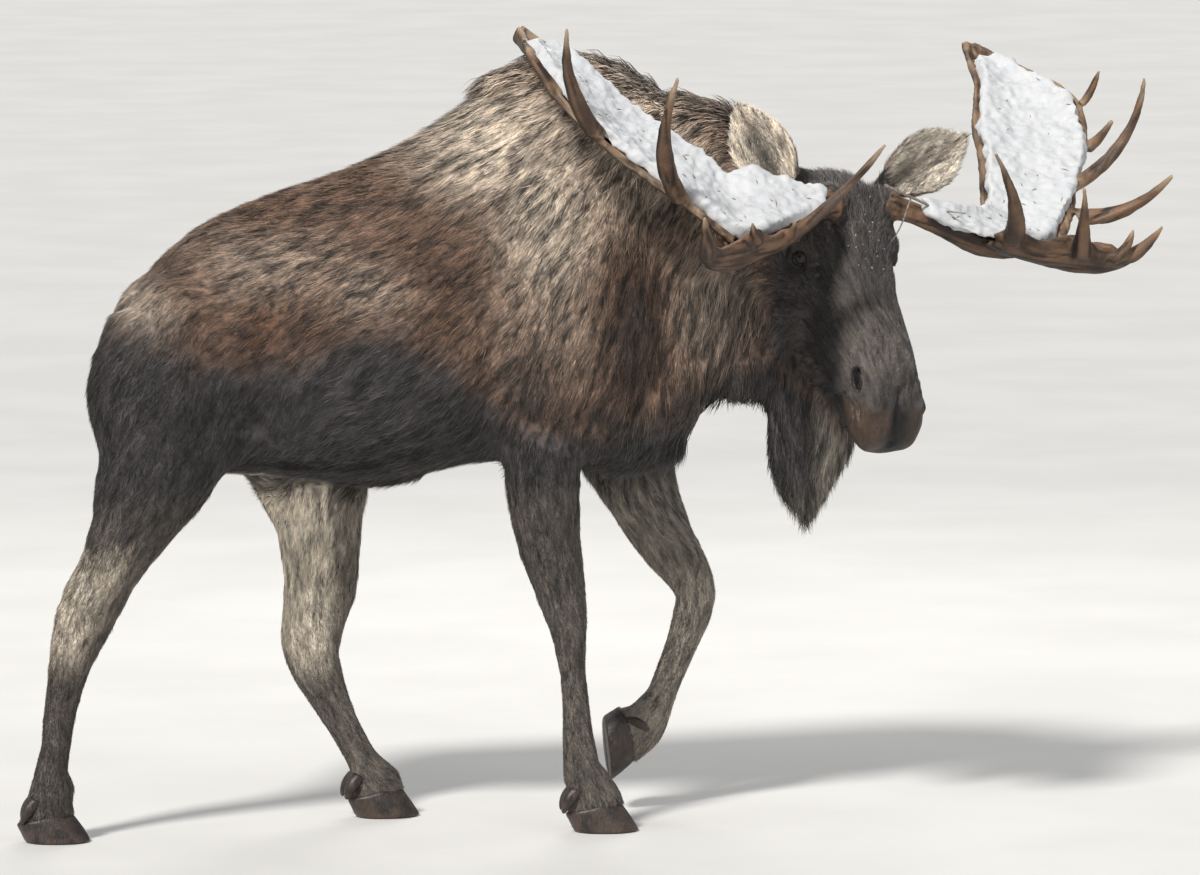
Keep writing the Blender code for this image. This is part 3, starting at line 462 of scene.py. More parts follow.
def largest_only(thing):
    """Deletes all but the largest connected shell."""
    mesh = bmesh.new()
    mesh.from_mesh(thing.data)
    left = set(mesh.verts)
    shells = []
    while left:
        shell = {left.pop()}
        front = list(shell)
        while front:
            new = []
            for vert in front:
                for link in vert.link_edges:
                    other = link.other_vert(vert)
                    if other in left:
                        left.discard(other)
                        shell.add(other)
                        new.append(other)
            front = new
        shells.append(shell)
    keep = max(shells, key=len)
    bmesh.ops.delete(mesh, geom=[v for v in mesh.verts if v not in keep], context="VERTS")
    mesh.to_mesh(thing.data)
    mesh.free()
    return thing


def points_of(thing):
    places = np.empty(len(thing.data.vertices) * 3)
    thing.data.vertices.foreach_get("co", places)
    return places.reshape(-1, 3)


def normals_of(thing):
    out = np.empty(len(thing.data.vertices) * 3)
    thing.data.vertices.foreach_get("normal", out)
    return out.reshape(-1, 3)


def set_points(thing, places):
    thing.data.vertices.foreach_set("co", np.asarray(places, float).ravel())
    thing.data.update()


def relax(thing, rounds, hold=None):
    """Evens a surface: each point moves half way to its neighbours, less where held."""
    places = points_of(thing)
    edges = np.empty(len(thing.data.edges) * 2, int)
    thing.data.edges.foreach_get("vertices", edges)
    a, b = edges.reshape(-1, 2).T
    count = np.bincount(a, minlength=len(places)) + np.bincount(b, minlength=len(places))
    count = np.maximum(count, 1)
    share = 0.5 if hold is None else 0.5 * (1 - hold)[:, None]
    for _ in range(rounds):
        total = np.stack([np.bincount(a, places[b, k], len(places))
                          + np.bincount(b, places[a, k], len(places))
                          for k in range(3)], axis=1)
        places = places + (total / count[:, None] - places) * share
    set_points(thing, places)
    return thing


def finish_piece(thing, name, material, nodes=()):
    """Names a piece, gives it its material and slot, and hangs it on the body."""
    thing.name = name
    thing.data.name = name
    thing.data.materials.clear()
    thing.data.materials.append(material)
    thing.data.polygons.foreach_set("use_smooth", [True] * len(thing.data.polygons))
    thing.data.update()
    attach(thing, BODY)
    if nodes:
        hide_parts(*nodes)
    return thing


def lattice(places, seed):
    """Repeatable random value, -1 to 1, of whole-number places."""
    h = (places[..., 0] * 73856093) ^ (places[..., 1] * 19349663) ^ (places[..., 2] * 83492791)
    h = (h ^ (seed * 2654435)) & 0xFFFF
    h = (h * (h * h * 15731 + 789221) + 1376312589) & 0x7FFFFFFF
    return h / 0x3FFFFFFF - 1


def noise(places, scale, seed):
    """Smooth noise, -1 to 1; scale is the number of waves in a metre."""
    q = np.asarray(places) * scale + seed * 7.31
    cell = np.floor(q).astype(np.int64)
    f = q - cell
    f = f * f * (3 - 2 * f)
    total = 0
    for corner in np.ndindex(2, 2, 2):
        corner = np.array(corner)
        weight = np.prod(np.where(corner, f, 1 - f), axis=-1)
        total = total + weight * lattice(cell + corner, seed)
    return total


def unit(vectors):
    return vectors / np.maximum(np.linalg.norm(vectors, axis=-1, keepdims=True), 1e-9)


def fade(distance, radius):
    """1 at distance 0, 0 from the radius on, smooth."""
    return np.maximum(0, 1 - (distance / radius) ** 2) ** 2


def step(values, low, high):
    """0 at low, 1 at high, smooth between."""
    t = np.clip((values - low) / (high - low), 0, 1)
    return t * t * (3 - 2 * t)


def read_off(table, at):
    """Values from rows of place and value, straight between the rows."""
    return np.interp(at, *np.array(table).T)


def to_path(places, path):
    """Distance from places to a broken line, and how far along it, 0 to 1."""
    path = np.array([list(p) for p in path], float)
    if len(path) == 1:
        return np.linalg.norm(places - path[0], axis=1), np.zeros(len(places))
    best = np.full(len(places), 1e9)
    where = np.zeros(len(places))
    for k in range(len(path) - 1):
        run = path[k + 1] - path[k]
        t = np.clip(((places - path[k]) @ run) / (run @ run), 0, 1)
        d = np.linalg.norm(places - path[k] - t[:, None] * run, axis=1)
        near = d < best
        best[near] = d[near]
        where[near] = (k + t[near]) / (len(path) - 1)
    return best, where


def add_attribute(thing, name, kind, values):
    layer = thing.data.attributes.new(name, kind, "POINT")
    field = {"FLOAT_COLOR": "color", "FLOAT_VECTOR": "vector"}[kind]
    layer.data.foreach_set(field, np.asarray(values, np.float32).ravel())


# ---- the lie of the coat -------------------------------------------------------
# legs from elbow or stifle to pastern
LEG_LINES = {
    "fore_R": [(0.115, -0.185, 1.12), (0.084, -0.185, 0.85), (0.122, -0.18, 0.635),
               (0.152, -0.18, 0.465), (0.172, -0.18, 0.235), (0.232, -0.18, 0.045)],
    "fore_L": [(0.30, 0.165, 1.02), (0.395, 0.165, 0.78), (0.510, 0.160, 0.590),
               (0.506, 0.160, 0.48), (0.432, 0.16, 0.295), (0.335, 0.16, 0.152)],
    "hind_R": [(-0.868, -0.18, 0.97), (-0.955, -0.178, 0.765), (-1.072, -0.17, 0.525),
               (-1.118, -0.17, 0.35), (-1.136, -0.17, 0.225), (-1.134, -0.17, 0.045)],
    "hind_L": [(-0.475, 0.175, 0.96), (-0.440, 0.165, 0.755), (-0.458, 0.150, 0.50),
               (-0.440, 0.150, 0.355), (-0.352, 0.15, 0.18), (-0.250, 0.15, 0.045)],
}
LEG_HAIR = (34, 27, 20, 16, 13, 17)     # its length at the places above, in mm
LEG_LIFT = 7
EAR_HAIR, EAR_LIFT = 0.019, 9
# on the body, mirrored: place, direction, length in mm, lift in degrees
BODY_LIE = [
    (0.04, 0.10, 1.86, -0.8, 0, -0.55, 40, 10), (0.20, 0.10, 1.88, -0.7, 0, -0.6, 42, 10),
    (0.35, 0.10, 1.83, -0.7, 0, -0.6, 44, 11), (0.48, 0.10, 1.76, -0.75, 0, -0.6, 46, 12),
    (-0.10, 0.10, 1.79, -0.85, 0, -0.45, 36, 10),
    (-0.93, 0.06, 1.30, -0.5, 0, -0.9, 23, 8), (-0.90, 0.05, 1.40, -0.9, 0, -0.4, 28, 12),
    (-0.72, 0.05, 1.54, -1, 0, -0.15, 33, 12), (-0.55, 0.05, 1.61, -1, 0, -0.2, 34, 12),
    (-0.40, 0.05, 1.66, -1, 0, -0.2, 36, 14), (-0.24, 0.05, 1.73, -1, 0, -0.25, 39, 16),
    (-0.10, 0.02, 1.82, -0.95, 0, -0.3, 44, 18), (0.04, 0.02, 1.90, -0.9, 0, 0.0, 66, 24),
    (0.20, 0.015, 1.935, -0.9, 0, 0.1, 80, 27), (0.35, 0.015, 1.88, -0.95, 0, 0.1, 84, 28),
    (0.48, 0.02, 1.81, -0.95, 0, 0.1, 80, 28), (0.60, -0.02, 1.74, -0.95, 0, 0.0, 62, 22),
    (-0.85, 0.20, 1.28, -0.6, 0, -0.8, 25, 7), (-0.72, 0.24, 1.42, -0.9, 0, -0.4, 33, 8),
    (-0.62, 0.27, 1.28, -0.85, 0, -0.5, 33, 8), (-0.62, 0.27, 1.05, -0.5, 0, -0.85, 28, 7),
    (-0.80, 0.26, 1.05, -0.5, 0, -0.9, 23, 6), (-0.40, 0.24, 1.52, -0.9, 0, -0.4, 36, 9),
    (-0.38, 0.30, 1.32, -0.85, 0, -0.5, 36, 9), (-0.38, 0.30, 1.05, -0.85, 0, -0.5, 34, 9),
    (-0.12, 0.24, 1.62, -0.8, 0, -0.55, 34, 9), (-0.10, 0.31, 1.40, -0.8, 0, -0.6, 33, 8),
    (-0.12, 0.31, 1.15, -0.75, 0, -0.65, 36, 9), (0.10, 0.20, 1.76, -0.65, 0, -0.7, 40, 10),
    (0.12, 0.28, 1.55, -0.6, 0, -0.8, 38, 9), (0.12, 0.29, 1.30, -0.45, 0, -0.9, 38, 8),
    (0.10, 0.27, 1.06, -0.3, 0, -0.95, 38, 8), (0.32, 0.18, 1.74, -0.6, 0, -0.75, 44, 11),
    (0.33, 0.25, 1.55, -0.5, 0, -0.85, 40, 9), (0.33, 0.25, 1.32, -0.35, 0, -0.95, 40, 8),
    (0.36, 0.20, 1.08, -0.15, 0, -1, 42, 8), (-0.60, 0.08, 0.90, -1, 0, -0.2, 36, 14),
    (-0.30, 0.08, 0.88, -0.95, 0, -0.3, 40, 16), (0.00, 0.08, 0.90, -0.85, 0, -0.5, 42, 16),
    (0.28, 0.06, 0.90, -0.4, 0, -0.9, 42, 14), (0.48, 0.00, 1.06, -0.1, 0, -1, 60, 12),
    (0.50, 0.14, 1.68, -0.7, 0, -0.7, 46, 12), (0.50, 0.23, 1.50, -0.5, 0, -0.85, 42, 9),
    (0.50, 0.20, 1.30, -0.25, 0, -0.95, 44, 9), (0.64, 0.24, 1.50, -0.5, 0, -0.85, 44, 10),
    (0.62, 0.18, 1.30, -0.1, 0, -1, 56, 10), (0.66, -0.06, 1.10, 0.0, 0, -1, 44, 10),
    (0.745, -0.09, 1.00, 0.02, 0, -1, 41, 9), (0.755, -0.09, 0.86, 0.03, 0, -1, 46, 9),
    (0.84, -0.12, 1.02, -0.08, 0, -1, 38, 9), (0.81, -0.11, 0.88, -0.1, 0, -1, 44, 9),
    (0.70, -0.09, 1.18, 0.05, 0, -1, 44, 9), (-0.95, 0.00, 1.28, -0.3, 0, -1, 27, 10),
    (-0.985, -0.01, 1.17, -0.1, 0, -1, 34, 10),
]
# on the head, mirrored: along, crown, out, direction there, length in mm, lift
HEAD_LIE = [
    (0.58, -0.16, 0.03, -0.3, 1, 0, 3, 4), (0.54, -0.09, 0.05, -1, 0.3, 0, 4, 4),
    (0.47, -0.05, 0.04, -1, 0, 0, 8, 6), (0.38, -0.02, 0.04, -1, 0, 0.05, 11, 7),
    (0.28, -0.01, 0.04, -1, 0, 0.1, 14, 8), (0.17, 0.0, 0.04, -1, 0, 0.2, 17, 10),
    (0.06, 0.02, 0.04, -0.9, 0, 0.3, 24, 18), (-0.06, 0.02, 0.03, -1, 0.1, 0.1, 34, 22),
    (0.50, -0.14, 0.09, -1, -0.1, 0, 4, 4), (0.42, -0.12, 0.10, -1, -0.2, 0, 9, 6),
    (0.32, -0.12, 0.10, -1, -0.2, 0, 13, 7), (0.22, -0.12, 0.11, -1, -0.2, 0.1, 15, 7),
    (0.14, -0.09, 0.12, -1, -0.1, 0.1, 12, 7), (0.09, -0.15, 0.13, -0.9, -0.5, 0, 14, 7),
    (0.04, -0.06, 0.13, -0.9, 0.3, 0.2, 16, 8), (0.20, -0.22, 0.11, -0.9, -0.4, 0, 20, 8),
    (0.06, -0.25, 0.12, -0.7, -0.6, 0, 30, 9), (-0.02, -0.16, 0.12, -0.8, -0.5, 0, 34, 10),
    (0.28, -0.29, 0.06, -0.7, -0.7, 0, 26, 9), (0.40, -0.26, 0.05, -0.8, -0.5, 0, 16, 8),
    (0.47, -0.27, 0.03, -0.6, -0.8, 0, 14, 8), (0.10, -0.36, 0.05, -0.4, -0.9, 0, 50, 10),
    (0.00, -0.36, 0.06, -0.4, -0.9, 0, 52, 10),
]
EARS = {
    "R": (on_head(-0.095, -0.075, -0.168), on_head(-0.275, 0.020, -0.297)),
    "L": (on_head(-0.075, -0.045, 0.130), on_head(-0.195, 0.015, 0.390)),
}
EAR_FACING = Vector((-0.1, -1.0, 0.1))
EAR_SUNK = 0.045            # how deep the ear's root lies in the head
EAR_ARC = 0.100             # half the ear's width, measured round its curl
# from root to tip: share of the width, and how far each side curls forward in degrees
EAR_WIDTHS = [(0.0, 0.54), (0.14, 0.76), (0.28, 0.96), (0.44, 1.0), (0.60, 0.90),
              (0.74, 0.68), (0.86, 0.40), (0.95, 0.17), (1.0, 0.05)]
EAR_CURLS = [(0.0, 150), (0.2, 105), (0.4, 76), (0.6, 58), (0.8, 44), (1.0, 28)]
# feet: middle of the sole, forward, up, how far back the dewclaws sit
FEET = {
    "fore_R": ((0.245, -0.180, 0.0), (1.0, -0.05, 0.0), (0, 0, 1), 0.078),
    "hind_R": ((-1.128, -0.170, 0.0), (1.0, -0.05, 0.0), (0, 0, 1), 0.055),
    "hind_L": ((-0.268, 0.150, 0.0), (1.0, 0.06, 0.0), (0, 0, 1), 0.078),
    "fore_L": ((0.290, 0.160, 0.160), (0.10, 0.0, -0.995), (0.995, 0.0, 0.10), 0.040),
}


DEWCLAW_HEIGHT = 0.112       # of a dewclaw's root above the sole


def ear_frame(tag):
    """Root, length and the ear's own directions: along, across, facing."""
    root, tip = EARS[tag]
    along = (tip - root).normalized()
    root = root - along * EAR_SUNK
    facing = (EAR_FACING - along * EAR_FACING.dot(along)).normalized()
    return root, (tip - root).length, along, along.cross(facing), facing


def ear_places(places):
    """Nearness to an ear, place along it, share of the way to its rim, depth inside."""
    found = [np.zeros(len(places)) for _ in range(4)]
    for tag in EARS:
        root, length, along, across, facing = ear_frame(tag)
        gap = places - np.array(root)
        t = gap @ np.array(along) / length
        u, w = gap @ np.array(across), gap @ np.array(facing)
        curl = np.radians(read_off(EAR_CURLS, t))
        radius = EAR_ARC * read_off(EAR_WIDTHS, t) / curl
        angle = np.abs(np.arctan2(u, radius - w))
        inside = radius - np.hypot(u, w - radius)
        near = (step(np.abs(inside), 0.024, 0.014) * step(t, 0.14, 0.20)
                * step(t, 1.12, 1.04) * step(angle, 1.5 * curl, 1.25 * curl))
        better = near > found[0]
        for kept, value in zip(found, (near, t, angle / curl, inside)):
            kept[better] = value[better]
    return found


def foot_frame(name):
    """Middle of the sole, the foot's own directions, and how far back its dewclaws sit."""
    at, forward, up, setback = FEET[name]
    forward, up = Vector(forward).normalized(), Vector(up).normalized()
    return on_body(*at), forward, up.cross(forward).normalized(), up, setback


def on_foot(name, ahead, out, high):
    """A place from the middle of a foot's sole."""
    at, forward, across, up, _ = foot_frame(name)
    return at + forward * ahead + across * out + up * high


def lie_rows():
    """Every control of the coat: place, direction, length, lift."""
    rows = []
    for x, y, z, dx, dy, dz, length, lift in BODY_LIE:
        for side in ((1,) if x > 0.6 and z < 1.2 else (-1, 1)):
            rows.append((*on_body(x, side * y, z), dx, side * dy, dz, length / 1000, lift))
    for along, crown, out, da, dc, dl, length, lift in HEAD_LIE:
        for side in (-1, 1):
            direction = NOSE * da + CROWN * dc + LEFT * (dl * side)
            rows.append((*on_head(along, crown, side * out), *direction, length / 1000, lift))
    for line in LEG_LINES.values():
        for k, place in enumerate(line):
            a = Vector(line[min(k, len(line) - 2)])
            b = Vector(line[min(k + 1, len(line) - 1)])
            down = (b - a).normalized()
            rows.append((*on_body(*place), *down, LEG_HAIR[k] / 1000, LEG_LIFT))
            if k + 1 < len(line):
                length = (LEG_HAIR[k] + LEG_HAIR[k + 1]) / 2000
                rows.append((*on_body(*((a + b) / 2)), *down, length, LEG_LIFT))
    for root, tip in EARS.values():
        for t in (0.15, 0.45, 0.75, 1.0):
            rows.append((*root.lerp(tip, t), *(tip - root).normalized(), EAR_HAIR, EAR_LIFT))
    return np.array(rows)


LIE = lie_rows()
LIE_BATCH = 20000           # places worked out at once, to spare memory


def lie_of_coat(places):
    """Direction, length and lift of the hair at each place."""
    out = np.empty((len(places), 5))
    for k in range(0, len(places), LIE_BATCH):
        gap = places[k:k + LIE_BATCH, None, :] - LIE[None, :, :3]
        weight = 1 / ((gap ** 2).sum(2) + 0.0012) ** 2.5
        weight /= weight.sum(1, keepdims=True)
        out[k:k + LIE_BATCH] = weight @ LIE[:, 3:]
    for side in (-1, 1):
        eye = np.array(on_head(EYE_ALONG, EYE_CROWN, side * EYE_OUT))
        out[:, 3] *= 0.35 + 0.65 * step(np.linalg.norm(places - eye, axis=1), 0.028, 0.070)
    return out[:, :3], out[:, 3], np.radians(out[:, 4])


# ---- markings ------------------------------------------------------------------
# height below which the coat is dark, along the body
DARK_LINE = [(-1.2, 1.30), (-0.99, 1.31), (-0.88, 1.275), (-0.78, 1.205), (-0.62, 1.20),
             (-0.46, 1.225), (-0.30, 1.25), (-0.16, 1.21), (-0.06, 1.10), (0.06, 1.01),
             (0.22, 0.99), (0.38, 1.06), (0.50, 1.12), (0.62, 1.17), (0.75, 1.19), (1.2, 1.2)]
# patches on the body: x, z, half length, half height, strength
GREY_PATCHES = [(-0.02, 1.75, 0.26, 0.19, 1.0), (0.09, 1.60, 0.16, 0.28, 0.86),
                (0.30, 1.74, 0.28, 0.24, 0.75), (0.10, 1.32, 0.20, 0.22, 0.22),
                (-0.93, 1.34, 0.12, 0.10, 0.55), (-0.62, 1.44, 0.24, 0.10, 0.28),
                (-0.36, 1.36, 0.14, 0.10, 0.30), (0.50, 1.38, 0.12, 0.26, 0.40),
                (0.44, 1.55, 0.20, 0.20, 0.22)]
RUST_PATCHES = [(-0.48, 1.26, 0.30, 0.11, 1.0), (-0.68, 1.22, 0.20, 0.060, 0.80),
                (-0.20, 1.38, 0.12, 0.20, 0.60), (-0.80, 1.42, 0.14, 0.09, 0.40),
                (-0.62, 1.55, 0.16, 0.07, 0.45), (0.30, 1.28, 0.10, 0.22, 0.90),
                (0.42, 1.44, 0.10, 0.14, 0.45), (0.04, 1.14, 0.10, 0.12, 0.60)]
DARK_PATCHES = [(0.31, 1.27, 0.075, 0.17, 0.70), (0.32, 1.00, 0.12, 0.10, 0.80),
                (0.56, 1.34, 0.09, 0.14, 0.45), (0.03, 1.12, 0.07, 0.11, 0.60),
                (0.24, 1.05, 0.10, 0.06, 0.60), (-0.80, 1.05, 0.10, 0.10, 0.35),
                (-0.66, 1.03, 0.12, 0.08, 0.55)]


def patches(places, rows):
    """The strongest of the patches at each place."""
    total = np.zeros(len(places))
    for x, z, long, high, strength in rows:
        d = np.hypot((places[:, 0] - x) / long, (places[:, 2] - z) / high)
        total = np.maximum(total, strength * fade(d, 1.35))
    return total


def head_places(places):
    """Places as along the nose, to the crown and to the left of the head."""
    gap = places - np.array(HEAD_AT)
    return gap @ np.array([list(NOSE), list(CROWN), list(LEFT)]).T


# the slit of a nostril and the line of the mouth: along, crown, out
NOSTRIL = [(0.426, -0.088, 0.089), (0.444, -0.095, 0.089), (0.464, -0.093, 0.092)]
MOUTH = [(0.455, -0.150, 0.092), (0.496, -0.135, 0.095), (0.545, -0.150, 0.088),
         (0.585, -0.175, 0.062)]


def mirrored(rows):
    """Head places on both sides, each as a line of vectors."""
    return [[on_head(a, c, side * l) for a, c, l in rows] for side in (-1, 1)]


def trunk_marks(places, q, h, head, wobble):
    """Grey, rust, dark and pale of the trunk, neck, bell and face."""
    line = read_off(DARK_LINE, q[:, 0])
    low = step(q[:, 2] + wobble, line + 0.085, line - 0.065)
    grey = patches(q, GREY_PATCHES)
    rust = patches(q, RUST_PATCHES) * (0.85 + 0.35 * noise(places, 6.0, 9))
    dark = np.maximum(low, patches(q, DARK_PATCHES))
    # dark tips along the spine and nape
    spine = step(np.abs(q[:, 1] + 0.10 * step(q[:, 0], 0.4, 0.8)), 0.045, 0.010)
    dark = np.maximum(dark, 0.6 * spine * step(q[:, 2], 1.62, 1.70) * step(q[:, 0], -0.35, -0.1))
    dark = np.maximum(dark, 0.30 * step(q[:, 0], 0.55, 0.72) * step(q[:, 2], 1.15, 1.5))
    bell = step(q[:, 0], 0.60, 0.68) * step(q[:, 2], 1.25, 1.15) * (1 - head)
    front = step(q[:, 0], 0.765, 0.80)
    dark = np.maximum(dark, bell * (0.22 + 0.50 * front))
    rust = np.maximum(rust, 0.30 * bell * (1 - front) * step(q[:, 2], 0.86, 1.06))
    # the face is dark, frosted down the nose and over the brow
    dark = np.where(head > 0.3, np.maximum(0.95 * head, dark * (1 - head)), dark)
    frost = step(h[:, 0], 0.20, 0.30) * step(h[:, 0], 0.50, 0.42) * step(h[:, 1], -0.17, -0.08)
    brow = fade(np.linalg.norm(h * (1, 1, 0) - (0.055, -0.055, 0), axis=1), 0.07)
    dark = dark - head * (0.06 * frost + 0.10 * brow)
    pale = head * (0.05 * frost + 0.03 * brow + 0.01) + 0.24 * bell * front
    return grey, rust, dark, pale


def leg_marks(q, wobble, dark, pale):
    """Dark legs, paler down the back of the hind ones; the far foreleg painted paler, as lit;
    pale groin and tail."""
    leg = step(q[:, 2], 0.90, 0.80)
    fore = leg * step(q[:, 0], -0.15, 0.0)
    hind = leg * step(q[:, 0], 0.0, -0.15)
    dark = dark * (1 - leg) + 0.90 * leg
    inner = step(np.abs(q[:, 1]), 0.175, 0.145) * step(q[:, 0], -0.1, -0.2)
    pale_top = 0.735 + 0.13 * inner * step(q[:, 0], -0.75, -0.65)
    pale_low = 0.47 - 0.06 * inner
    band = step(q[:, 2] + wobble, pale_top + 0.05, pale_top - 0.05)
    band = band * step(q[:, 2] + wobble, pale_low - 0.09, pale_low + 0.07)
    for foot, side, bleached, thinned in (
            ("hind_R", step(q[:, 1], 0.02, -0.02), 0.62, 0.55),
            ("hind_L", step(q[:, 1], -0.02, 0.02), 0.95, 0.30)):
        line = np.array(sorted(LEG_LINES[foot], key=lambda place: place[2]))
        ahead = q[:, 0] - np.interp(q[:, 2], line[:, 2], line[:, 0]) + 0.4 * wobble
        back = 1 - step(ahead, 0.0, 0.065)
        amount = hind * band * side * (0.25 + 0.75 * back)
        pale = np.maximum(pale, amount * bleached)
        dark = dark * (1 - amount * thinned)
    pale = np.maximum(pale, hind * (0.05 + 0.08 * step(q[:, 1], -0.1, 0.1)))
    # painted light: the far foreleg is made paler than the near one
    far = step(q[:, 1], -0.1, 0.1)
    pale = np.maximum(pale, fore * (0.07 + 0.04 * step(q[:, 2], 0.66, 0.52) + 0.18 * far))
    groin = fade(np.hypot(np.hypot(q[:, 0] + 0.60, q[:, 2] - 0.87), q[:, 1] * 0.5), 0.10)
    pale = np.maximum(pale, 0.75 * groin)
    tail = step(np.linalg.norm(q - (-0.995, -0.01, 1.16), axis=1), 0.065, 0.035)
    return dark, np.maximum(pale, 0.75 * tail)


def ear_marks(places, h, grey, rust, dark, pale):
    """Ears with pale hair inside, a dark rim behind, painted shade in the hollow, and the near
    ear painted darker than the far one.
    """
    ear, along, rim, inside = ear_places(places)
    inner = step(inside, -0.002, 0.003)
    edge = step(rim, 0.78, 0.98)
    # painted light and shade: the near ear is made darker, and its inside less pale, than the
    # far ear
    near = step(h[:, 2], 0.0, -0.02)
    # painted shade in the hollow of the ear, larger on the near ear
    hollow = inner * step(rim, 0.75 + 0.15 * near, 0.30 + 0.15 * near)
    hollow = hollow * step(along, 0.60 + 0.30 * near, 0.30 + 0.30 * near)
    ear_dark = (0.10 + 0.22 * near + (0.20 + 0.34 * near) * hollow
                + 0.35 * (1 - inner) * edge - 0.26 * inner * (1 - hollow))
    ear_pale = (0.92 - 0.34 * near) * inner * step(rim, 0.05, 0.55) + 0.06
    dark = dark * (1 - ear) + ear_dark * ear
    grey = grey * (1 - ear) + (0.25 + 0.35 * inner) * ear
    rust = rust * (1 - ear) + 0.15 * (1 - inner) * ear
    return grey, rust, dark, pale * (1 - ear) + ear_pale * ear


def bare_skin(places, h, head):
    """Bare skin of the muzzle pad, nostrils, lips and lids, and its shade: dark behind the pad,
    as at the lids, and painted shade in and round the nostrils, down the cleft of the nose and
    over the far side of the pad.
    """
    lip = 0.75 * h[:, 0] - 0.66 * h[:, 1] + 0.007 * noise(places, 40.0, 6)
    lip = lip + 0.004 * noise(places, 150.0, 8)
    bare = step(lip, 0.426, 0.468) * step(h[:, 1], -0.245, -0.205) * head
    # painted shade in and round each nostril
    away = np.ones(len(places))
    for path in mirrored(NOSTRIL):
        distance = to_path(places, path)[0]
        bare = np.maximum(bare, step(distance, 0.024, 0.012))
        away = np.minimum(away, step(distance, 0.010, 0.034))
    for path in mirrored(MOUTH):
        bare = np.maximum(bare, step(to_path(places, path)[0], 0.014, 0.006))
    for side in (-1, 1):
        eye = on_head(EYE_ALONG, EYE_CROWN, side * EYE_OUT)
        bare = np.maximum(bare, step(np.linalg.norm(places - eye, axis=1), 0.030, 0.025))
    # painted shade: dark down the middle cleft of the nose and darker over the far side of the
    # pad
    bare_tone_and_shade = step(h[:, 0], 0.42, 0.50) * step(np.abs(h[:, 2] - 0.004), 0.018, 0.038) * away
    bare_tone_and_shade = bare_tone_and_shade * (1 - 0.35 * step(h[:, 2], 0.01, 0.04)) * (0.85 + 0.3 * noise(places, 45.0, 7))
    return bare, np.clip(bare_tone_and_shade, 0, 1)


def markings(places):
    """Grey, rust, dark and pale of the coat, and bare skin with its dark parts and painted
    shade.
    """
    q = places - np.array(BODY_AT)
    h = head_places(places)
    wobble = (0.032 * noise(places, 5.0, 3) + 0.022 * noise(places, 17.0, 4)
              + 0.016 * noise(places, 48.0, 5))
    head = step(to_path(places, [on_head(0.02, -0.15, 0), on_head(0.5, -0.13, 0)])[0],
                0.26, 0.21) * step(q[:, 0] + 0.5 * wobble, 0.60, 0.68)
    grey, rust, dark, pale = trunk_marks(places, q, h, head, wobble)
    dark, pale = leg_marks(q, wobble, dark, pale)
    marks = ear_marks(places, h, grey, rust, dark, pale)
    return np.clip(np.stack(marks, 1), 0, 1), *bare_skin(places, h, head)


# ---- skin --------------------------------------------------------------------
FLESH = ["trunk", "neck", "head", "bell", "tail", "leg_fore_R", "leg_fore_L",
         "leg_hind_R", "leg_hind_L", "ear_R", "ear_L"]
# swellings and hollows of the body: line, radius, height
BODY_RELIEF = [
    ([(-0.02, -0.30, 1.62), (-0.035, -0.32, 1.35), (-0.06, -0.30, 1.08)], 0.075, -0.020),
    ([(0.10, -0.25, 1.62), (0.14, -0.29, 1.35), (0.13, -0.28, 1.12)], 0.10, 0.020),
    ([(0.36, -0.24, 1.60), (0.39, -0.24, 1.35), (0.36, -0.22, 1.12)], 0.07, -0.017),
    ([(0.05, -0.28, 1.03), (0.16, -0.25, 0.98), (0.22, -0.20, 0.90)], 0.050, -0.016),
    ([(0.30, -0.17, 1.05), (0.34, -0.14, 0.96)], 0.08, 0.008),
    ([(-0.56, -0.28, 1.38), (-0.60, -0.27, 1.15), (-0.62, -0.25, 0.96)], 0.09, -0.027),
    ([(-0.80, -0.24, 1.30), (-0.84, -0.27, 1.10)], 0.11, 0.017),
    ([(-0.45, -0.27, 0.93), (-0.58, -0.24, 0.98), (-0.68, -0.24, 1.06)], 0.05, -0.017),
    ([(0.56, -0.22, 1.60), (0.55, -0.24, 1.40), (0.60, -0.18, 1.22)], 0.06, -0.014),
    ([(0.770, -0.18, 1.12), (0.775, -0.18, 0.98), (0.780, -0.18, 0.84)], 0.11, -0.016),
]
# on the head, mirrored: line, radius, height
HEAD_RELIEF = [
    ([(0.062, -0.066, 0.128), (0.098, -0.064, 0.128)], 0.026, 0.006),
    ([(0.135, -0.085, 0.120), (0.155, -0.095, 0.112)], 0.016, -0.009),
    ([(0.085, -0.150, 0.140), (0.120, -0.155, 0.130), (0.150, -0.145, 0.118)], 0.013, -0.004),
    ([(0.20, -0.15, 0.118), (0.34, -0.155, 0.10)], 0.030, 0.005),
    ([(0.22, -0.215, 0.11), (0.34, -0.215, 0.095), (0.44, -0.205, 0.09)], 0.022, -0.006),
    ([(0.16, -0.10, 0.115), (0.24, -0.085, 0.098), (0.34, -0.085, 0.095)], 0.022, -0.005),
    ([(0.478, -0.045, 0.060), (0.505, -0.050, 0.068), (0.530, -0.075, 0.070)], 0.024, 0.009),
    ([(0.470, -0.085, 0.092), (0.500, -0.100, 0.093)], 0.018, 0.006),
    ([(0.437, -0.082, 0.094), (0.452, -0.094, 0.096)], 0.012, -0.006),
    ([(0.545, -0.130, 0.070), (0.570, -0.150, 0.050)], 0.045, 0.008),
    (NOSTRIL, 0.0135, -0.016),
    ([(0.440, -0.090, 0.092), (0.496, -0.109, 0.096), (0.535, -0.122, 0.090)], 0.009, -0.006),
    (MOUTH, 0.010, -0.011),
    ([(0.46, -0.165, 0.092), (0.50, -0.155, 0.092), (0.55, -0.170, 0.082)], 0.011, 0.004),
    ([(0.465, -0.120, 0.098), (0.50, -0.117, 0.098), (0.55, -0.132, 0.090)], 0.011, 0.004),
]
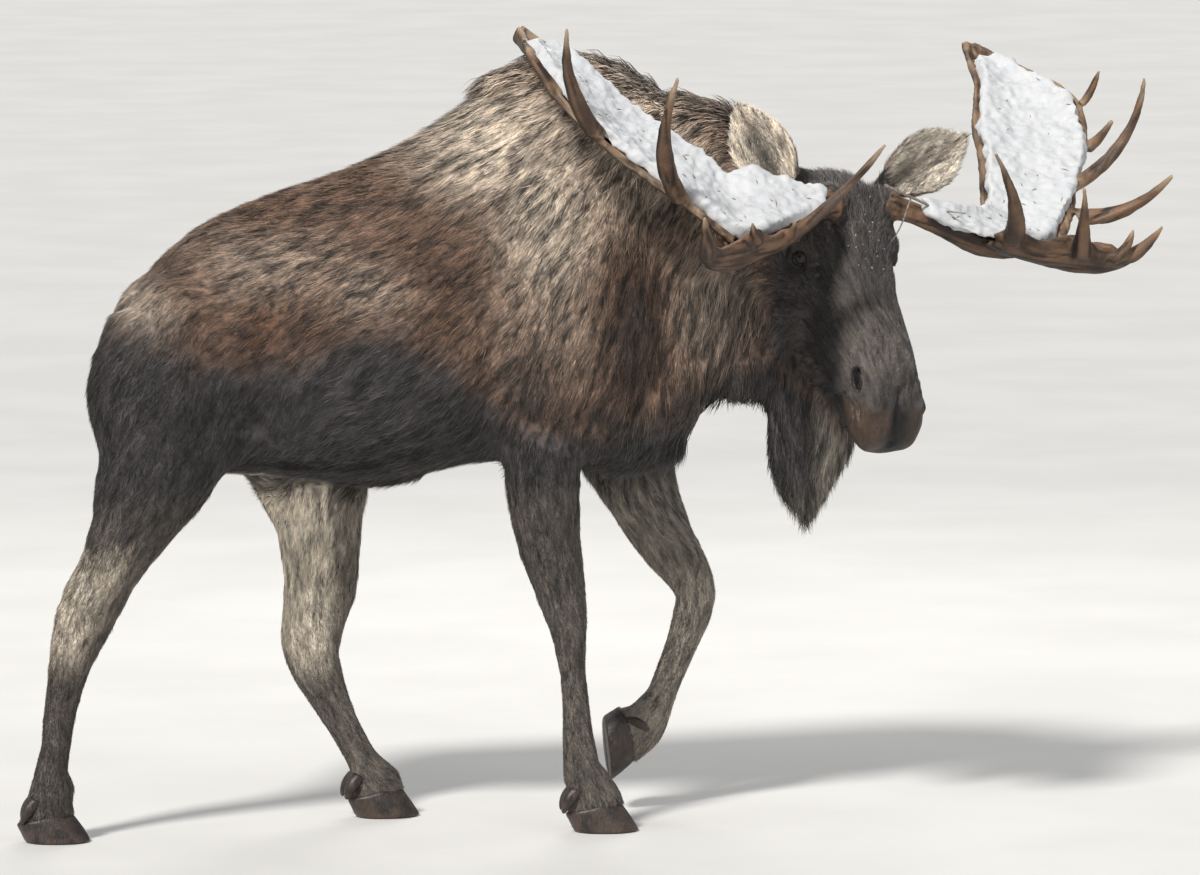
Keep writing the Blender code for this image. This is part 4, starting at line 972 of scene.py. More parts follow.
# down the middle of the nose: line, radius, height
MID_RELIEF = [([(0.50, -0.055, 0.0), (0.545, -0.090, 0.0), (0.590, -0.145, 0.0)], 0.020, -0.008)]


def pressed(places, normals, path, radius, height):
    """Places raised, or sunk, along a line."""
    d, _ = to_path(places, path)
    return places + normals * (height * fade(d, radius))[:, None]


# how far an eye looks outwards, to the crown and down the nose
LOOK_OUT, LOOK_CROWN, LOOK_NOSE = 0.78, 0.42, 0.46


def eye_frame(side):
    """Middle of the eye, and the eye's own directions: gaze, forward, upward."""
    centre = on_head(EYE_ALONG, EYE_CROWN, side * EYE_OUT)
    gaze = (LEFT * side * LOOK_OUT + CROWN * LOOK_CROWN + NOSE * LOOK_NOSE).normalized()
    forward = (NOSE - gaze * NOSE.dot(gaze)).normalized()
    upward = forward.cross(gaze) * (1 if forward.cross(gaze).dot(CROWN) > 0 else -1)
    return centre, gaze, forward, upward


def lid_arch(along):
    """Half height of the lid opening."""
    return EYE_ARCH * (1 - (along / EYE_HALF) ** 2)


def open_eyes(places):
    """A lid opening and rounded lids in front of each eye, in a shallow socket."""
    for side in (-1, 1):
        centre, gaze, forward, upward = eye_frame(side)
        gap = places - np.array(centre)
        along, high, out = (gap @ np.array(axis) for axis in (forward, upward, gaze))
        reach = np.hypot(along, high)
        near = (np.linalg.norm(gap, axis=1) < 0.075) & (out > -0.010)
        inside = step(np.abs(high) - lid_arch(along), 0.0010, -0.0010)
        inside = inside * (np.abs(along) < EYE_HALF)
        # lids hug the ball; the opening sinks behind it
        cap = np.sqrt(np.maximum(LID_RADIUS ** 2 - reach ** 2, 0.0135 ** 2))
        cap = cap + 0.45 * np.maximum(0, reach - 0.018) - 0.010 * inside
        share = step(reach, 0.048, 0.020) * near
        places = places + np.array(gaze) * ((cap - out) * share)[:, None]
    return places


def ear_shell(tag):
    """A leaf curled forward, open towards its facing side, made solid."""
    root, length, along, across, facing = ear_frame(tag)
    nothing_selected()
    bpy.ops.mesh.primitive_grid_add(x_subdivisions=16, y_subdivisions=22, size=1)
    ear = bpy.context.object
    places = []
    for u, v, _ in points_of(ear):
        t = v + 0.5
        curl = math.radians(read_off(EAR_CURLS, t))
        radius = EAR_ARC * read_off(EAR_WIDTHS, t) / curl
        angle = 2 * u * curl
        places.append(root + along * (length * t) + across * (radius * math.sin(angle))
                      + facing * (radius * (1 - math.cos(angle)) + 0.012 * t * t))
    set_points(ear, places)
    apply_modifier(ear, "SOLIDIFY", thickness=0.011, offset=0.0)
    return cleaned(ear)


# flesh over the hoof, from the ground up: ahead, half length, half width, height, slope
CORONET = [(-0.027, 0.074, 0.049, 0.052, 0.22), (-0.033, 0.070, 0.048, 0.072, 0.28),
           (-0.037, 0.060, 0.045, 0.098, 0.30), (-0.040, 0.050, 0.041, 0.128, 0.20),
           (-0.050, 0.041, 0.038, 0.165, 0.05)]


def foot_flesh(foot):
    """The pastern widening over the top of the hoof, and the roots of the dewclaws."""
    at, forward, across, up, setback = foot_frame(foot)
    ends = []
    for place in LEG_LINES[foot][-2:]:
        gap = on_body(*place) - at
        ends.append((gap.dot(up), gap.dot(forward)))
    (high, high_ahead), (low, low_ahead) = ends
    pastern = bar("pastern", [at + up * row[3] for row in CORONET],
                  [BLANK_RADIUS] * len(CORONET), 24)
    places = []
    for p in points_of(pastern):
        gap = Vector(p) - at
        k = min(range(len(CORONET)), key=lambda i: abs(CORONET[i][3] - gap.dot(up)))
        ahead, half_length, half_width, height, slope = CORONET[k]
        leg_ahead = low_ahead + (high_ahead - low_ahead) * (height - low) / (high - low)
        ahead = ahead + (leg_ahead - ahead) * (0, 0, 0.5, 1, 1)[k]
        along = gap.dot(forward) / BLANK_RADIUS * half_length
        out = gap.dot(across) / BLANK_RADIUS * half_width
        places.append(at + forward * (ahead + along) + across * out
                      + up * (height + slope * along))
    set_points(pastern, places)
    things = [cleaned(pastern)]
    for side in (-1, 1):
        root = on_foot(foot, -setback + 0.006, side * 0.022, DEWCLAW_HEIGHT)
        nothing_selected()
        bpy.ops.mesh.primitive_uv_sphere_add(segments=16, ring_count=12, radius=0.025,
                                             location=root)
        things.append(bpy.context.object)
    return things


def flesh_shell():
    """One even shell of the flesh, the curled ears and the feet, and which of it is ear."""
    flesh = copy_of([node for node in FLESH if not node.startswith("ear")], "flesh")
    things = [flesh] + [ear_shell(tag) for tag in EARS]
    for foot in FEET:
        things += foot_flesh(foot)
    skin = joined("skin", things)
    apply_modifier(skin, "REMESH", mode="VOXEL", voxel_size=SKIN_CELL, adaptivity=0.0)
    largest_only(skin)
    places = points_of(skin)
    h = head_places(places)
    q = places - np.array(BODY_AT)
    head = step(h[:, 0], -0.16, -0.10) * step(np.abs(h[:, 2]), 0.22, 0.17) * (h[:, 1] > -0.42)
    head = head * step(h[:, 0], 0.75, 0.65)
    legs = step(q[:, 2], 0.90, 0.78)
    ears = ear_places(places)[0]
    relax(skin, 3)
    relax(skin, 34, np.clip(np.maximum(np.maximum(ears, 0.72 * head), 0.80 * legs), 0, 1))
    return skin, ears


def sink_by_coat(skin, ears):
    """Takes the coat's own depth off the skin, less where it is short."""
    places = points_of(skin)
    _, length, lift = lie_of_coat(places)
    depth = np.clip(0.30 * length * np.sin(lift + 0.12), 0, 0.016) + 0.0015
    depth = depth * (1 - 0.8 * ears)
    set_points(skin, places - normals_of(skin) * depth[:, None])
    relax(skin, 2, ears)


def shape_forms(skin):
    """Muscles, folds, cheeks, nostrils and mouth, a little unevenness, and the eyes."""
    places = points_of(skin)
    normals = normals_of(skin)
    for path, radius, height in BODY_RELIEF:
        for side in (1, -1):
            line = [on_body(x, side * y, z) for x, y, z in path]
            places = pressed(places, normals, line, radius, height)
    for path, radius, height in HEAD_RELIEF:
        for line in mirrored(path):
            places = pressed(places, normals, line, radius, height)
    for path, radius, height in MID_RELIEF:
        places = pressed(places, normals, [on_head(*p) for p in path], radius, height)
    h = head_places(places)
    calm = (1 - step(h[:, 0], 0.35, 0.45) * step(np.abs(h[:, 2]), 0.2, 0.15))
    calm = calm * (1 - 0.8 * ear_places(places)[0])
    ripple = 0.0022 * noise(places, 14.0, 21) + 0.0012 * noise(places, 33.0, 22)
    places = places + normals * (ripple * calm)[:, None]
    set_points(skin, open_eyes(places))


def unwrap(skin):
    """Lays the skin out flat; the hair takes its places from it."""
    only(skin)
    skin.data.uv_layers.new(name="OFBake")
    bpy.ops.object.mode_set(mode="EDIT")
    bpy.ops.mesh.select_all(action="SELECT")
    bpy.ops.uv.smart_project(angle_limit=math.radians(70), island_margin=0.002)
    bpy.ops.object.mode_set(mode="OBJECT")


def make_skin(material):
    skin, ears = flesh_shell()
    sink_by_coat(skin, ears)
    finer_head(skin)
    shape_forms(skin)
    count = len(skin.data.loops) - 2 * len(skin.data.polygons)
    apply_modifier(skin, "DECIMATE", ratio=SKIN_TRIANGLES / max(count, SKIN_TRIANGLES))
    apply_modifier(skin, "TRIANGULATE")
    unwrap(skin)
    places = points_of(skin)
    marks, bare, bare_tone_and_shade = markings(places)
    streak = streaks(places, lie_of_coat(places)[0])
    add_attribute(skin, "markings", "FLOAT_COLOR", marks)
    ones = np.ones(len(places))
    add_attribute(skin, "hair", "FLOAT_COLOR", np.stack([0.3 * ones, bare_tone_and_shade, streak, bare], 1))
    return finish_piece(skin, "skin", material, FLESH)


def finer_head(skin):
    """Halves the cells of the face, where the small forms are."""
    mesh = bmesh.new()
    mesh.from_mesh(skin.data)
    axes = [np.array(NOSE), np.array(CROWN), np.array(LEFT)]
    centre = np.array(HEAD_AT)
    edges = []
    for edge in mesh.edges:
        gap = np.array(edge.verts[0].co) - centre
        a, c, l = (gap @ axis for axis in axes)
        eye = abs(a - EYE_ALONG) < 0.08 and abs(c - EYE_CROWN) < 0.07 and 0.06 < abs(l) < 0.17
        muzzle = a > 0.40 and c > -0.26 and abs(l) < 0.15 and a < 0.70
        if eye or muzzle:
            edges.append(edge)
    bmesh.ops.subdivide_edges(mesh, edges=edges, cuts=1, use_grid_fill=True, smooth=0.6)
    bmesh.ops.triangulate(mesh, faces=[f for f in mesh.faces if len(f.verts) > 4])
    mesh.to_mesh(skin.data)
    mesh.free()


def streaks(places, lie):
    """Light and dark streaks that run with the hair, 0 to 1; finer where it is short."""
    lie = unit(lie)
    length = lie_of_coat(places)[1]
    long = 0.28 + 0.72 * step(length, 0.018, 0.036)
    broad = noise(places, 9.0, 33)
    coarse = sum(noise(places + lie * (k * 0.008), 105.0, 31) for k in range(-3, 4))
    fine = sum(noise(places + lie * (k * 0.004), 220.0, 32) for k in range(-3, 4))
    mottle = noise(places, 55.0, 34) * (1 - long)
    strand = 0.17 * long * coarse + (0.12 + 0.08 * long) * fine
    return np.clip(0.5 + strand + 0.10 * mottle + 0.06 * broad, 0.04, 1.15)


# ---- coat --------------------------------------------------------------------
class Roots:
    """Places on the skin where hair can grow."""

    def __init__(self, skin):
        mesh = skin.data
        mesh.calc_loop_triangles()
        count = len(mesh.loop_triangles)
        corners = np.empty(count * 3, int)
        loops = np.empty(count * 3, int)
        mesh.loop_triangles.foreach_get("vertices", corners)
        mesh.loop_triangles.foreach_get("loops", loops)
        places = points_of(skin)
        normals = normals_of(skin)
        uv = np.empty(len(mesh.loops) * 2)
        mesh.uv_layers["OFBake"].data.foreach_get("uv", uv)
        self.corner = places[corners.reshape(-1, 3)]
        self.normal = normals[corners.reshape(-1, 3)]
        self.uv = uv.reshape(-1, 2)[loops.reshape(-1, 3)]
        edge_a = self.corner[:, 1] - self.corner[:, 0]
        edge_b = self.corner[:, 2] - self.corner[:, 0]
        self.area = np.linalg.norm(np.cross(edge_a, edge_b), axis=1) / 2
        self.centre = self.corner.mean(1)

    def pick(self, weight, count):
        """Count places, spread by area times weight."""
        share = np.cumsum(self.area * weight)
        at = (np.arange(count) + rng.random(count)) / count * share[-1]
        face = np.minimum(np.searchsorted(share, at), len(share) - 1)
        a = rng.random((count, 2))
        flip = a.sum(1) > 1
        a[flip] = 1 - a[flip]
        bary = np.stack([1 - a.sum(1), a[:, 0], a[:, 1]], 1)[:, :, None]
        return ((self.corner[face] * bary).sum(1), unit((self.normal[face] * bary).sum(1)),
                (self.uv[face] * bary).sum(1))


def lock_mesh(name, root, up, lie, length, width, lift, droop, rings, uv, marks, tone, streak):
    """Closed three-sided locks that lie along the skin and end in a point."""
    count = len(root)
    side = unit(np.cross(lie, up))
    stations = [k / rings for k in range(rings)]
    rows = []
    along = []
    patch = []
    rise = (length * np.sin(lift))[:, None]
    sunk = np.minimum(0.0022, 0.09 * length)[:, None]
    for t in stations + [1.0]:
        bend = t * (1.7 - t)
        centre = root + lie * (length * t)[:, None] + up * (rise * bend - sunk * (1 - t))
        centre[:, 2] -= droop * length * t * t
        if t == 1.0:
            rows.append(centre[:, None])
            along.append([1.0])
            patch.append([(0.5, 1.0)])
            continue
        half = (width * (0.5 - 0.22 * t))[:, None]
        rows.append(np.stack([centre - side * half, centre + side * half,
                              centre + up * half * 0.9], 1))
        along.append([t] * 3)
        patch.append([(0.0, t), (1.0, t), (0.5, t)])
    verts = np.concatenate(rows, 1)
    size = verts.shape[1]
    faces = [(0, 2, 1)]
    for k in range(rings - 1):
        for i, j in ((0, 1), (1, 2), (2, 0)):
            a, b = 3 * k + i, 3 * k + j
            faces += [(a, b, b + 3), (a, b + 3, a + 3)]
    top = 3 * (rings - 1)
    faces += [(top + i, top + j, size - 1) for i, j in ((0, 1), (1, 2), (2, 0))]
    faces = np.array(faces)
    a, b, c = (verts[:, faces[:, k]] - root[:, None] for k in range(3))
    if (np.cross(a, b) * c).sum() < 0:
        faces = faces[:, ::-1]
    index = (faces[None] + (np.arange(count) * size)[:, None, None]).reshape(-1, 3)
    mesh = bpy.data.meshes.new(name)
    mesh.vertices.add(count * size)
    mesh.vertices.foreach_set("co", verts.ravel())
    mesh.loops.add(index.size)
    mesh.loops.foreach_set("vertex_index", index.ravel())
    mesh.polygons.add(len(index))
    mesh.polygons.foreach_set("loop_start", np.arange(len(index)) * 3)
    mesh.polygons.foreach_set("loop_total", np.full(len(index), 3))
    mesh.update(calc_edges=True)
    flat = (uv[:, None] + (np.array(sum(patch, []))[None] - 0.5) * LOCK_PATCH).reshape(-1, 2)
    layer = mesh.uv_layers.new(name="OFBake")
    layer.data.foreach_set("uv", np.clip(flat, 0, 1)[index.ravel()].ravel())
    thing = placed(name, mesh)
    each = np.repeat(np.arange(count), size)
    run = np.tile(np.array(sum(along, [])), count)
    add_attribute(thing, "markings", "FLOAT_COLOR", marks[each])
    add_attribute(thing, "hair", "FLOAT_COLOR",
                  np.stack([run, tone[each], streak[each], np.zeros(len(each))], 1))
    return thing


def grow(kind, roots, weight, count, rings, reach, material, width_share):
    """Locks of one kind over the whole skin, in pieces small enough to keep."""
    place, up, uv = roots.pick(weight, count)
    lie, length, lift = lie_of_coat(place)
    # locks gather and part a little, in waves along the body
    swirl = 0.22 * np.stack([noise(place, 22.0, 41 + k) for k in range(3)], 1)
    swirl += 0.20 * np.stack([noise(place, 110.0, 51 + k) for k in range(3)], 1)
    lie = unit(lie) + swirl + 0.13 * rng.standard_normal((count, 3))
    lie = unit(lie - up * (lie * up).sum(1, keepdims=True))
    length = length * reach * (0.72 + 0.5 * rng.random(count))
    length = length * (1 + 0.18 * noise(place, 30.0, 61))
    lift = lift * (0.55 + 0.9 * rng.random(count)) + 0.16 * np.maximum(0, noise(place, 85.0, 62))
    lift = lift + 0.12 * step(length, 0.024, 0.014)
    width = width_share(length) * (0.8 + 0.4 * rng.random(count))
    marks, _, _ = markings(place)
    tone = np.clip(0.5 + 0.26 * rng.standard_normal(count), 0, 1)
    streak = streaks(place, lie)
    droop = np.clip((length - 0.045) * 4, 0, 0.25)
    faces = 4 + 6 * (rings - 1)
    pieces = int(math.ceil(count * faces / PIECE_TRIANGLES))
    order = np.argsort(place[:, 0])
    for k, part in enumerate(np.array_split(order, pieces)):
        name = kind if pieces == 1 else f"{kind}_{k + 1}"
        thing = lock_mesh(name, place[part], up[part], lie[part], length[part], width[part],
                          lift[part], droop[part], rings, uv[part], marks[part], tone[part],
                          streak[part])
        finish_piece(thing, name, material)


def make_coat(skin, material):
    """Hair of middle length on the body, fine short hair, and long hair on nape and bell."""
    roots = Roots(skin)
    _, length, _ = lie_of_coat(roots.centre)
    _, bare, _ = markings(roots.centre)
    allowed = 1 - step(bare, 0.25, 0.7)
    for side in (-1, 1):
        pedicle = np.array(on_antler(side, 0.095, 0.0, 0.008))
        allowed = allowed * step(np.linalg.norm(roots.centre - pedicle, axis=1), 0.030, 0.040)
    long = step(length, 0.050, 0.064)
    short = step(length, 0.024, 0.017)
    grow("coat_body", roots, allowed * (1 - short) / np.clip(length, 0.02, 0.06) ** 0.7,
         MEDIUM_LOCKS, 1, 1.0, material, lambda n: 0.0012 + 0.032 * n)
    face = step(to_path(roots.centre, [on_head(0.05, -0.12, 0), on_head(0.52, -0.12, 0)])[0],
                0.24, 0.17)
    fine = allowed * step(length, 0.030, 0.022) / np.clip(length, 0.007, 0.03) ** 1.3
    fine = fine * (1 + 0.9 * face)
    grow("coat_short", roots, fine, SHORT_LOCKS, 1, 1.0, material,
         lambda n: 0.0010 + 0.048 * n)
    grow("coat_mane", roots, allowed * long, LONG_LOCKS, 3, 1.15, material,
         lambda n: 0.0020 + 0.018 * n)


# ---- antlers -------------------------------------------------------------------
# all on one antler's own axes: outwards, back, rise; the beam also has its radius
BEAM = [(0.070, 0.000, 0.005, 0.034), (0.110, -0.015, 0.014, 0.031),
        (0.150, -0.030, 0.018, 0.028), (0.200, -0.052, 0.019, 0.028),
        (0.245, -0.075, 0.018, 0.029), (0.290, -0.097, 0.016, 0.031),
        (0.330, -0.116, 0.018, 0.032), (0.370, -0.130, 0.030, 0.031),
        (0.410, -0.146, 0.046, 0.024)]
BURR = (0.090, -0.004, 0.008)
BURR_PROFILE = [(-0.014, 0.034), (-0.006, 0.044), (0.006, 0.044), (0.014, 0.034)]
# palm: its front and rear edge, from the beam outwards
PALM = {
    "R": [((0.385, 0.050, -0.005), (0.500, -0.170, 0.110)),
          ((0.420, 0.115, -0.020), (0.590, -0.060, 0.090)),
          ((0.455, 0.175, -0.038), (0.660, 0.040, 0.050))],
    "L": [((0.385, 0.000, -0.005), (0.500, -0.170, 0.110)),
          ((0.420, 0.080, -0.020), (0.590, -0.060, 0.090)),
          ((0.455, 0.160, -0.038), (0.660, 0.040, 0.050))],
}
PALM_END = [((0.512, 0.280, -0.095), (0.755, 0.165, 0.022)),
            ((0.560, 0.370, -0.120), (0.812, 0.300, -0.010)),
            ((0.605, 0.450, -0.145), (0.800, 0.400, -0.060)),
            ((0.645, 0.540, -0.190), (0.745, 0.520, -0.150)),
            ((0.685, 0.615, -0.225), (0.700, 0.605, -0.215))]
for rows in PALM.values():
    rows += PALM_END
# brow palm: rear edge, bottom of its bowl, scalloped front edge
BROW_PALM = {
    "R": [((0.310, -0.085, 0.005), (0.285, -0.145, 0.080), (0.310, -0.154, 0.112)),
          ((0.360, -0.105, 0.015), (0.322, -0.158, 0.088), (0.363, -0.150, 0.145)),
          ((0.400, -0.115, 0.025), (0.371, -0.181, 0.092), (0.431, -0.184, 0.166)),
          ((0.445, -0.125, 0.040), (0.437, -0.207, 0.100), (0.486, -0.178, 0.190)),
          ((0.485, -0.140, 0.060), (0.498, -0.233, 0.110), (0.554, -0.214, 0.198)),
          ((0.535, -0.150, 0.085), (0.563, -0.251, 0.120), (0.617, -0.241, 0.202)),
          ((0.580, -0.150, 0.110), (0.618, -0.257, 0.140), (0.661, -0.229, 0.218)),
          ((0.605, -0.165, 0.130), (0.648, -0.246, 0.165), (0.680, -0.230, 0.215))],
    "L": [((0.300, -0.070, 0.000), (0.315, -0.142, 0.076), (0.300, -0.135, 0.108)),
          ((0.345, -0.095, 0.010), (0.358, -0.165, 0.080), (0.350, -0.129, 0.130)),
          ((0.400, -0.115, 0.025), (0.432, -0.194, 0.088), (0.405, -0.177, 0.150)),
          ((0.450, -0.130, 0.045), (0.497, -0.213, 0.095), (0.463, -0.172, 0.170)),
          ((0.500, -0.145, 0.070), (0.549, -0.230, 0.105), (0.514, -0.180, 0.182)),
          ((0.550, -0.150, 0.095), (0.597, -0.236, 0.117), (0.548, -0.218, 0.184)),
          ((0.600, -0.160, 0.120), (0.640, -0.231, 0.138), (0.592, -0.224, 0.192)),
          ((0.630, -0.180, 0.145), (0.662, -0.226, 0.165), (0.628, -0.224, 0.198))],
}
# snow: along the beam, then how far it stays from the palm's two edges
SNOW = {
    "R": ([((0.150, 0.005, 0.066), (0.165, -0.045, 0.068)),
           ((0.200, 0.015, 0.056), (0.215, -0.070, 0.074)),
           ((0.262, 0.045, 0.040), (0.290, -0.105, 0.090)),
           ((0.330, 0.075, 0.018), (0.395, -0.150, 0.116))],
          [(-0.02, 0.10), (0.00, 0.08), (0.02, 0.07), (0.02, 0.07), (0.02, 0.07), (0.02, 0.08),
           (0.02, 0.08)]),
    "L": ([((0.150, -0.010, 0.046), (0.165, -0.050, 0.058)),
           ((0.200, -0.020, 0.046), (0.215, -0.082, 0.062)),
           ((0.260, -0.030, 0.044), (0.285, -0.122, 0.078)),
           ((0.330, -0.035, 0.030), (0.400, -0.150, 0.100))],
          [(0.05, 0.16), (0.05, 0.06), (0.05, 0.00), (0.05, 0.03), (0.06, 0.09), (0.09, 0.20),
           (0.14, 0.32)]),
}
# base, tip, bow, radius at the base
TINES = {
    "R": [
        ((0.335, -0.160, 0.110), (0.161, -0.030, 0.365), (0.01, -0.02, 0.0), 0.019),
        ((0.355, -0.160, 0.125), (0.364, -0.152, 0.195), (0.0, -0.015, 0.0), 0.018),
        ((0.478, -0.196, 0.165), (0.534, -0.188, 0.240), (0.0, -0.015, 0.0), 0.021),
        ((0.650, -0.252, 0.180), (0.716, -0.207, 0.295), (0.0, -0.015, 0.0), 0.024),
        ((0.600, -0.040, 0.080), (0.722, 0.142, 0.357), (0.045, -0.02, -0.01), 0.026),
        ((0.740, 0.170, 0.015), (0.863, 0.378, 0.173), (0.03, -0.01, -0.01), 0.025),
        ((0.800, 0.300, -0.020), (0.857, 0.422, -0.012), (0.01, 0.0, 0.01), 0.017),
    ],
    "L": [
        ((0.352, -0.150, 0.100), (0.167, -0.048, 0.365), (0.03, -0.03, 0.0), 0.033),
        ((0.520, -0.210, 0.150), (0.435, -0.124, 0.335), (0.0, -0.015, 0.0), 0.029),
        ((0.590, -0.236, 0.170), (0.626, -0.193, 0.250), (0.0, -0.015, 0.0), 0.021),
        ((0.622, -0.236, 0.178), (0.711, -0.186, 0.262), (0.0, -0.015, 0.0), 0.022),
        ((0.600, -0.070, 0.090), (0.758, -0.064, 0.302), (0.02, -0.02, -0.03), 0.023),
        ((0.650, 0.040, 0.045), (0.797, 0.237, 0.269), (0.045, -0.02, -0.01), 0.020),
        ((0.755, 0.165, 0.022), (0.824, 0.222, 0.070), (0.01, 0.0, -0.01), 0.016),
        ((0.808, 0.310, -0.005), (0.839, 0.373, 0.064), (0.01, 0.0, -0.01), 0.013),
    ],
}
TINE_TIP = 0.0058           # radius of a tine at its tip
TINE_STEPS = 8
STOUT_TINE = 0.028          # radius at the base from which a tine narrows evenly
GRAIN_REACH = 0.05          # how far the grain follows the beam and the palm


def snow_edges(tag):
    """Inner and outer edge of the snow, along the beam and then over the palm."""
    beam, insets = SNOW[tag]
    rows = []
    for (inner, outer), (near, far) in zip(PALM[tag], insets):
        inner, outer = Vector(inner), Vector(outer)
        rows.append((tuple(inner.lerp(outer, near)), tuple(outer.lerp(inner, far))))
    return beam + rows


def smooth_rows(rows, steps):
    """Smooth rows through the given rows."""
    rows = np.array(rows, float)
    rows = np.vstack([2 * rows[0] - rows[1], rows, 2 * rows[-1] - rows[-2]])
    out = []
    for i in range(1, len(rows) - 2):
        a, b, c, d = rows[i - 1:i + 3]
        for s in range(steps):
            t = s / steps
            out.append(0.5 * (2 * b + (c - a) * t + (2 * a - 5 * b + 4 * c - d) * t ** 2
                              + (3 * b - a - 3 * c + d) * t ** 3))
    out.append(rows[-2])
    return np.array(out)


def bar(name, places, radii, sides=14):
    """A round bar: a disc extruded from place to place and resized on the way."""
    nothing_selected()
    turn = (places[-1] - places[0]).to_track_quat("Z", "Y").to_euler()
    bpy.ops.mesh.primitive_circle_add(vertices=sides, radius=radii[0], fill_type="NGON",
                                      location=places[0], rotation=turn)
    thing = bpy.context.object
    thing.name = name
    bpy.ops.object.mode_set(mode="EDIT")
    bpy.ops.mesh.select_all(action="SELECT")
    for k in range(1, len(places)):
        share = radii[k] / radii[k - 1]
        bpy.ops.mesh.extrude_region_move(
            TRANSFORM_OT_translate={"value": places[k] - places[k - 1]})
        bpy.ops.transform.resize(value=(share,) * 3, center_override=places[k])
    bpy.ops.object.mode_set(mode="OBJECT")
    bpy.ops.object.transform_apply(location=True, rotation=True, scale=True)
    return thing


def sheet(name, side, edges, thickness, cup, lift=0.0):
    """A cupped plate between two edges, through a middle line if there is one: a grid
    laid between them and made solid."""
    between, across = 5, 16
    rows = smooth_rows([sum(row, ()) for row in edges], between)
    nothing_selected()
    bpy.ops.mesh.primitive_grid_add(x_subdivisions=across, y_subdivisions=len(rows) - 1, size=1)
    thing = bpy.context.object
    thing.name = name
    flat = points_of(thing)
    places = []
    for u, v, _ in flat:
        i = int(round((v + 0.5) * (len(rows) - 1)))
        t = u + 0.5
        inner = on_antler(side, *rows[i][:3])
        outer = on_antler(side, *rows[i][-3:])
        after = rows[min(i + 1, len(rows) - 1)]
        before = rows[max(i - 1, 0)]
        ahead = on_antler(side, *after[:3]) - on_antler(side, *before[:3])
        up = ahead.cross(outer - inner).normalized()
        up = -up if up.z < 0 else up
        place = inner.lerp(outer, t) + up * (cup * ((2 * t - 1) ** 2 - 1) + lift)
        if len(rows[i]) == 9:
            middle_line = on_antler(side, *rows[i][3:6])
            place += (middle_line - inner.lerp(outer, 0.5)) * 4 * t * (1 - t)
        places.append(place)
    set_points(thing, places)
    apply_modifier(thing, "SOLIDIFY", thickness=thickness, offset=0.0)
    return thing


def bowed(start, end, bend, shares):
    """Places from start to end, half way moved aside by bend."""
    return [start.lerp(end, t) + bend * 4 * t * (1 - t) for t in shares]


def tine_path(side, base, tip, bow):
    """The bowed middle line of a tine."""
    bend = on_antler(side, *bow) - on_antler(side, 0, 0, 0)
    shares = [k / TINE_STEPS for k in range(TINE_STEPS + 1)]
    return bowed(on_antler(side, *base), on_antler(side, *tip), bend, shares)


def antler_axes(side, tag):
    """Lines that the grain follows, with their reach and whether they wear to a tip."""
    lines = [([on_antler(side, *b[:3]) for b in BEAM], GRAIN_REACH, 0)]
    for base, tip, bow, radius in TINES[tag]:
        lines.append((tine_path(side, base, tip, bow), radius, 1))
    for share in (0.1, 0.5, 0.9):
        line = [on_antler(side, *i).lerp(on_antler(side, *o), share) for i, o in PALM[tag]]
        lines.append((line, GRAIN_REACH, 0))
    lines.append(([on_antler(side, *row[1]) for row in BROW_PALM[tag]], GRAIN_REACH, 0))
    return lines


def antler_body(side, tag):
    """Beam, burr, palms and tines, melted into one bone."""
    things = [bar("beam", [on_antler(side, *b[:3]) for b in BEAM], [b[3] for b in BEAM], 20)]
    burr = on_antler(side, *BURR)
    things.append(bar("burr", [burr + LEFT * side * out for out, _ in BURR_PROFILE],
                      [radius for _, radius in BURR_PROFILE], 24))
    things.append(sheet("palm", side, PALM[tag], PALM_THICKNESS, PALM_CUP))
    things.append(sheet("brow", side, BROW_PALM[tag], PALM_THICKNESS, 0.0))
    for base, tip, bow, radius in TINES[tag]:
        path = tine_path(side, base, tip, bow)
        taper = 0.9 if radius > STOUT_TINE else 1.6
        radii = [TINE_TIP + (radius - TINE_TIP) * (1 - (k / TINE_STEPS) ** taper)
                 for k in range(TINE_STEPS + 1)]
        things.append(bar("tine", path, radii))
    antler = cleaned(joined("antler_" + tag, things))
    apply_modifier(antler, "REMESH", mode="VOXEL", voxel_size=ANTLER_CELL)
    largest_only(antler)
    return relax(antler, 7)


def antler_grain(side, tag, places):
    """Grooves along the antler, -1 to 1, and wear towards the tips of its tines."""
    groove = np.zeros(len(places))
    total = np.zeros(len(places))
    wear = np.zeros(len(places))
    for line, reach, tipped in antler_axes(side, tag):
        d, t = to_path(places, line)
        axis = unit(np.array(line[-1] - line[0]))
        run = places @ axis
        grain = (places - run[:, None] * axis) * 120.0 + (run * 8.0)[:, None] * axis
        weight = (reach / (d + 0.3 * reach)) ** 6
        groove += weight * noise(grain, 1.0, 71)
        total += weight
        if tipped:
            wear = np.maximum(wear, step(t, 0.75, 1.05) * step(d, 2.2 * reach, 1.2 * reach))
    return groove / total, wear


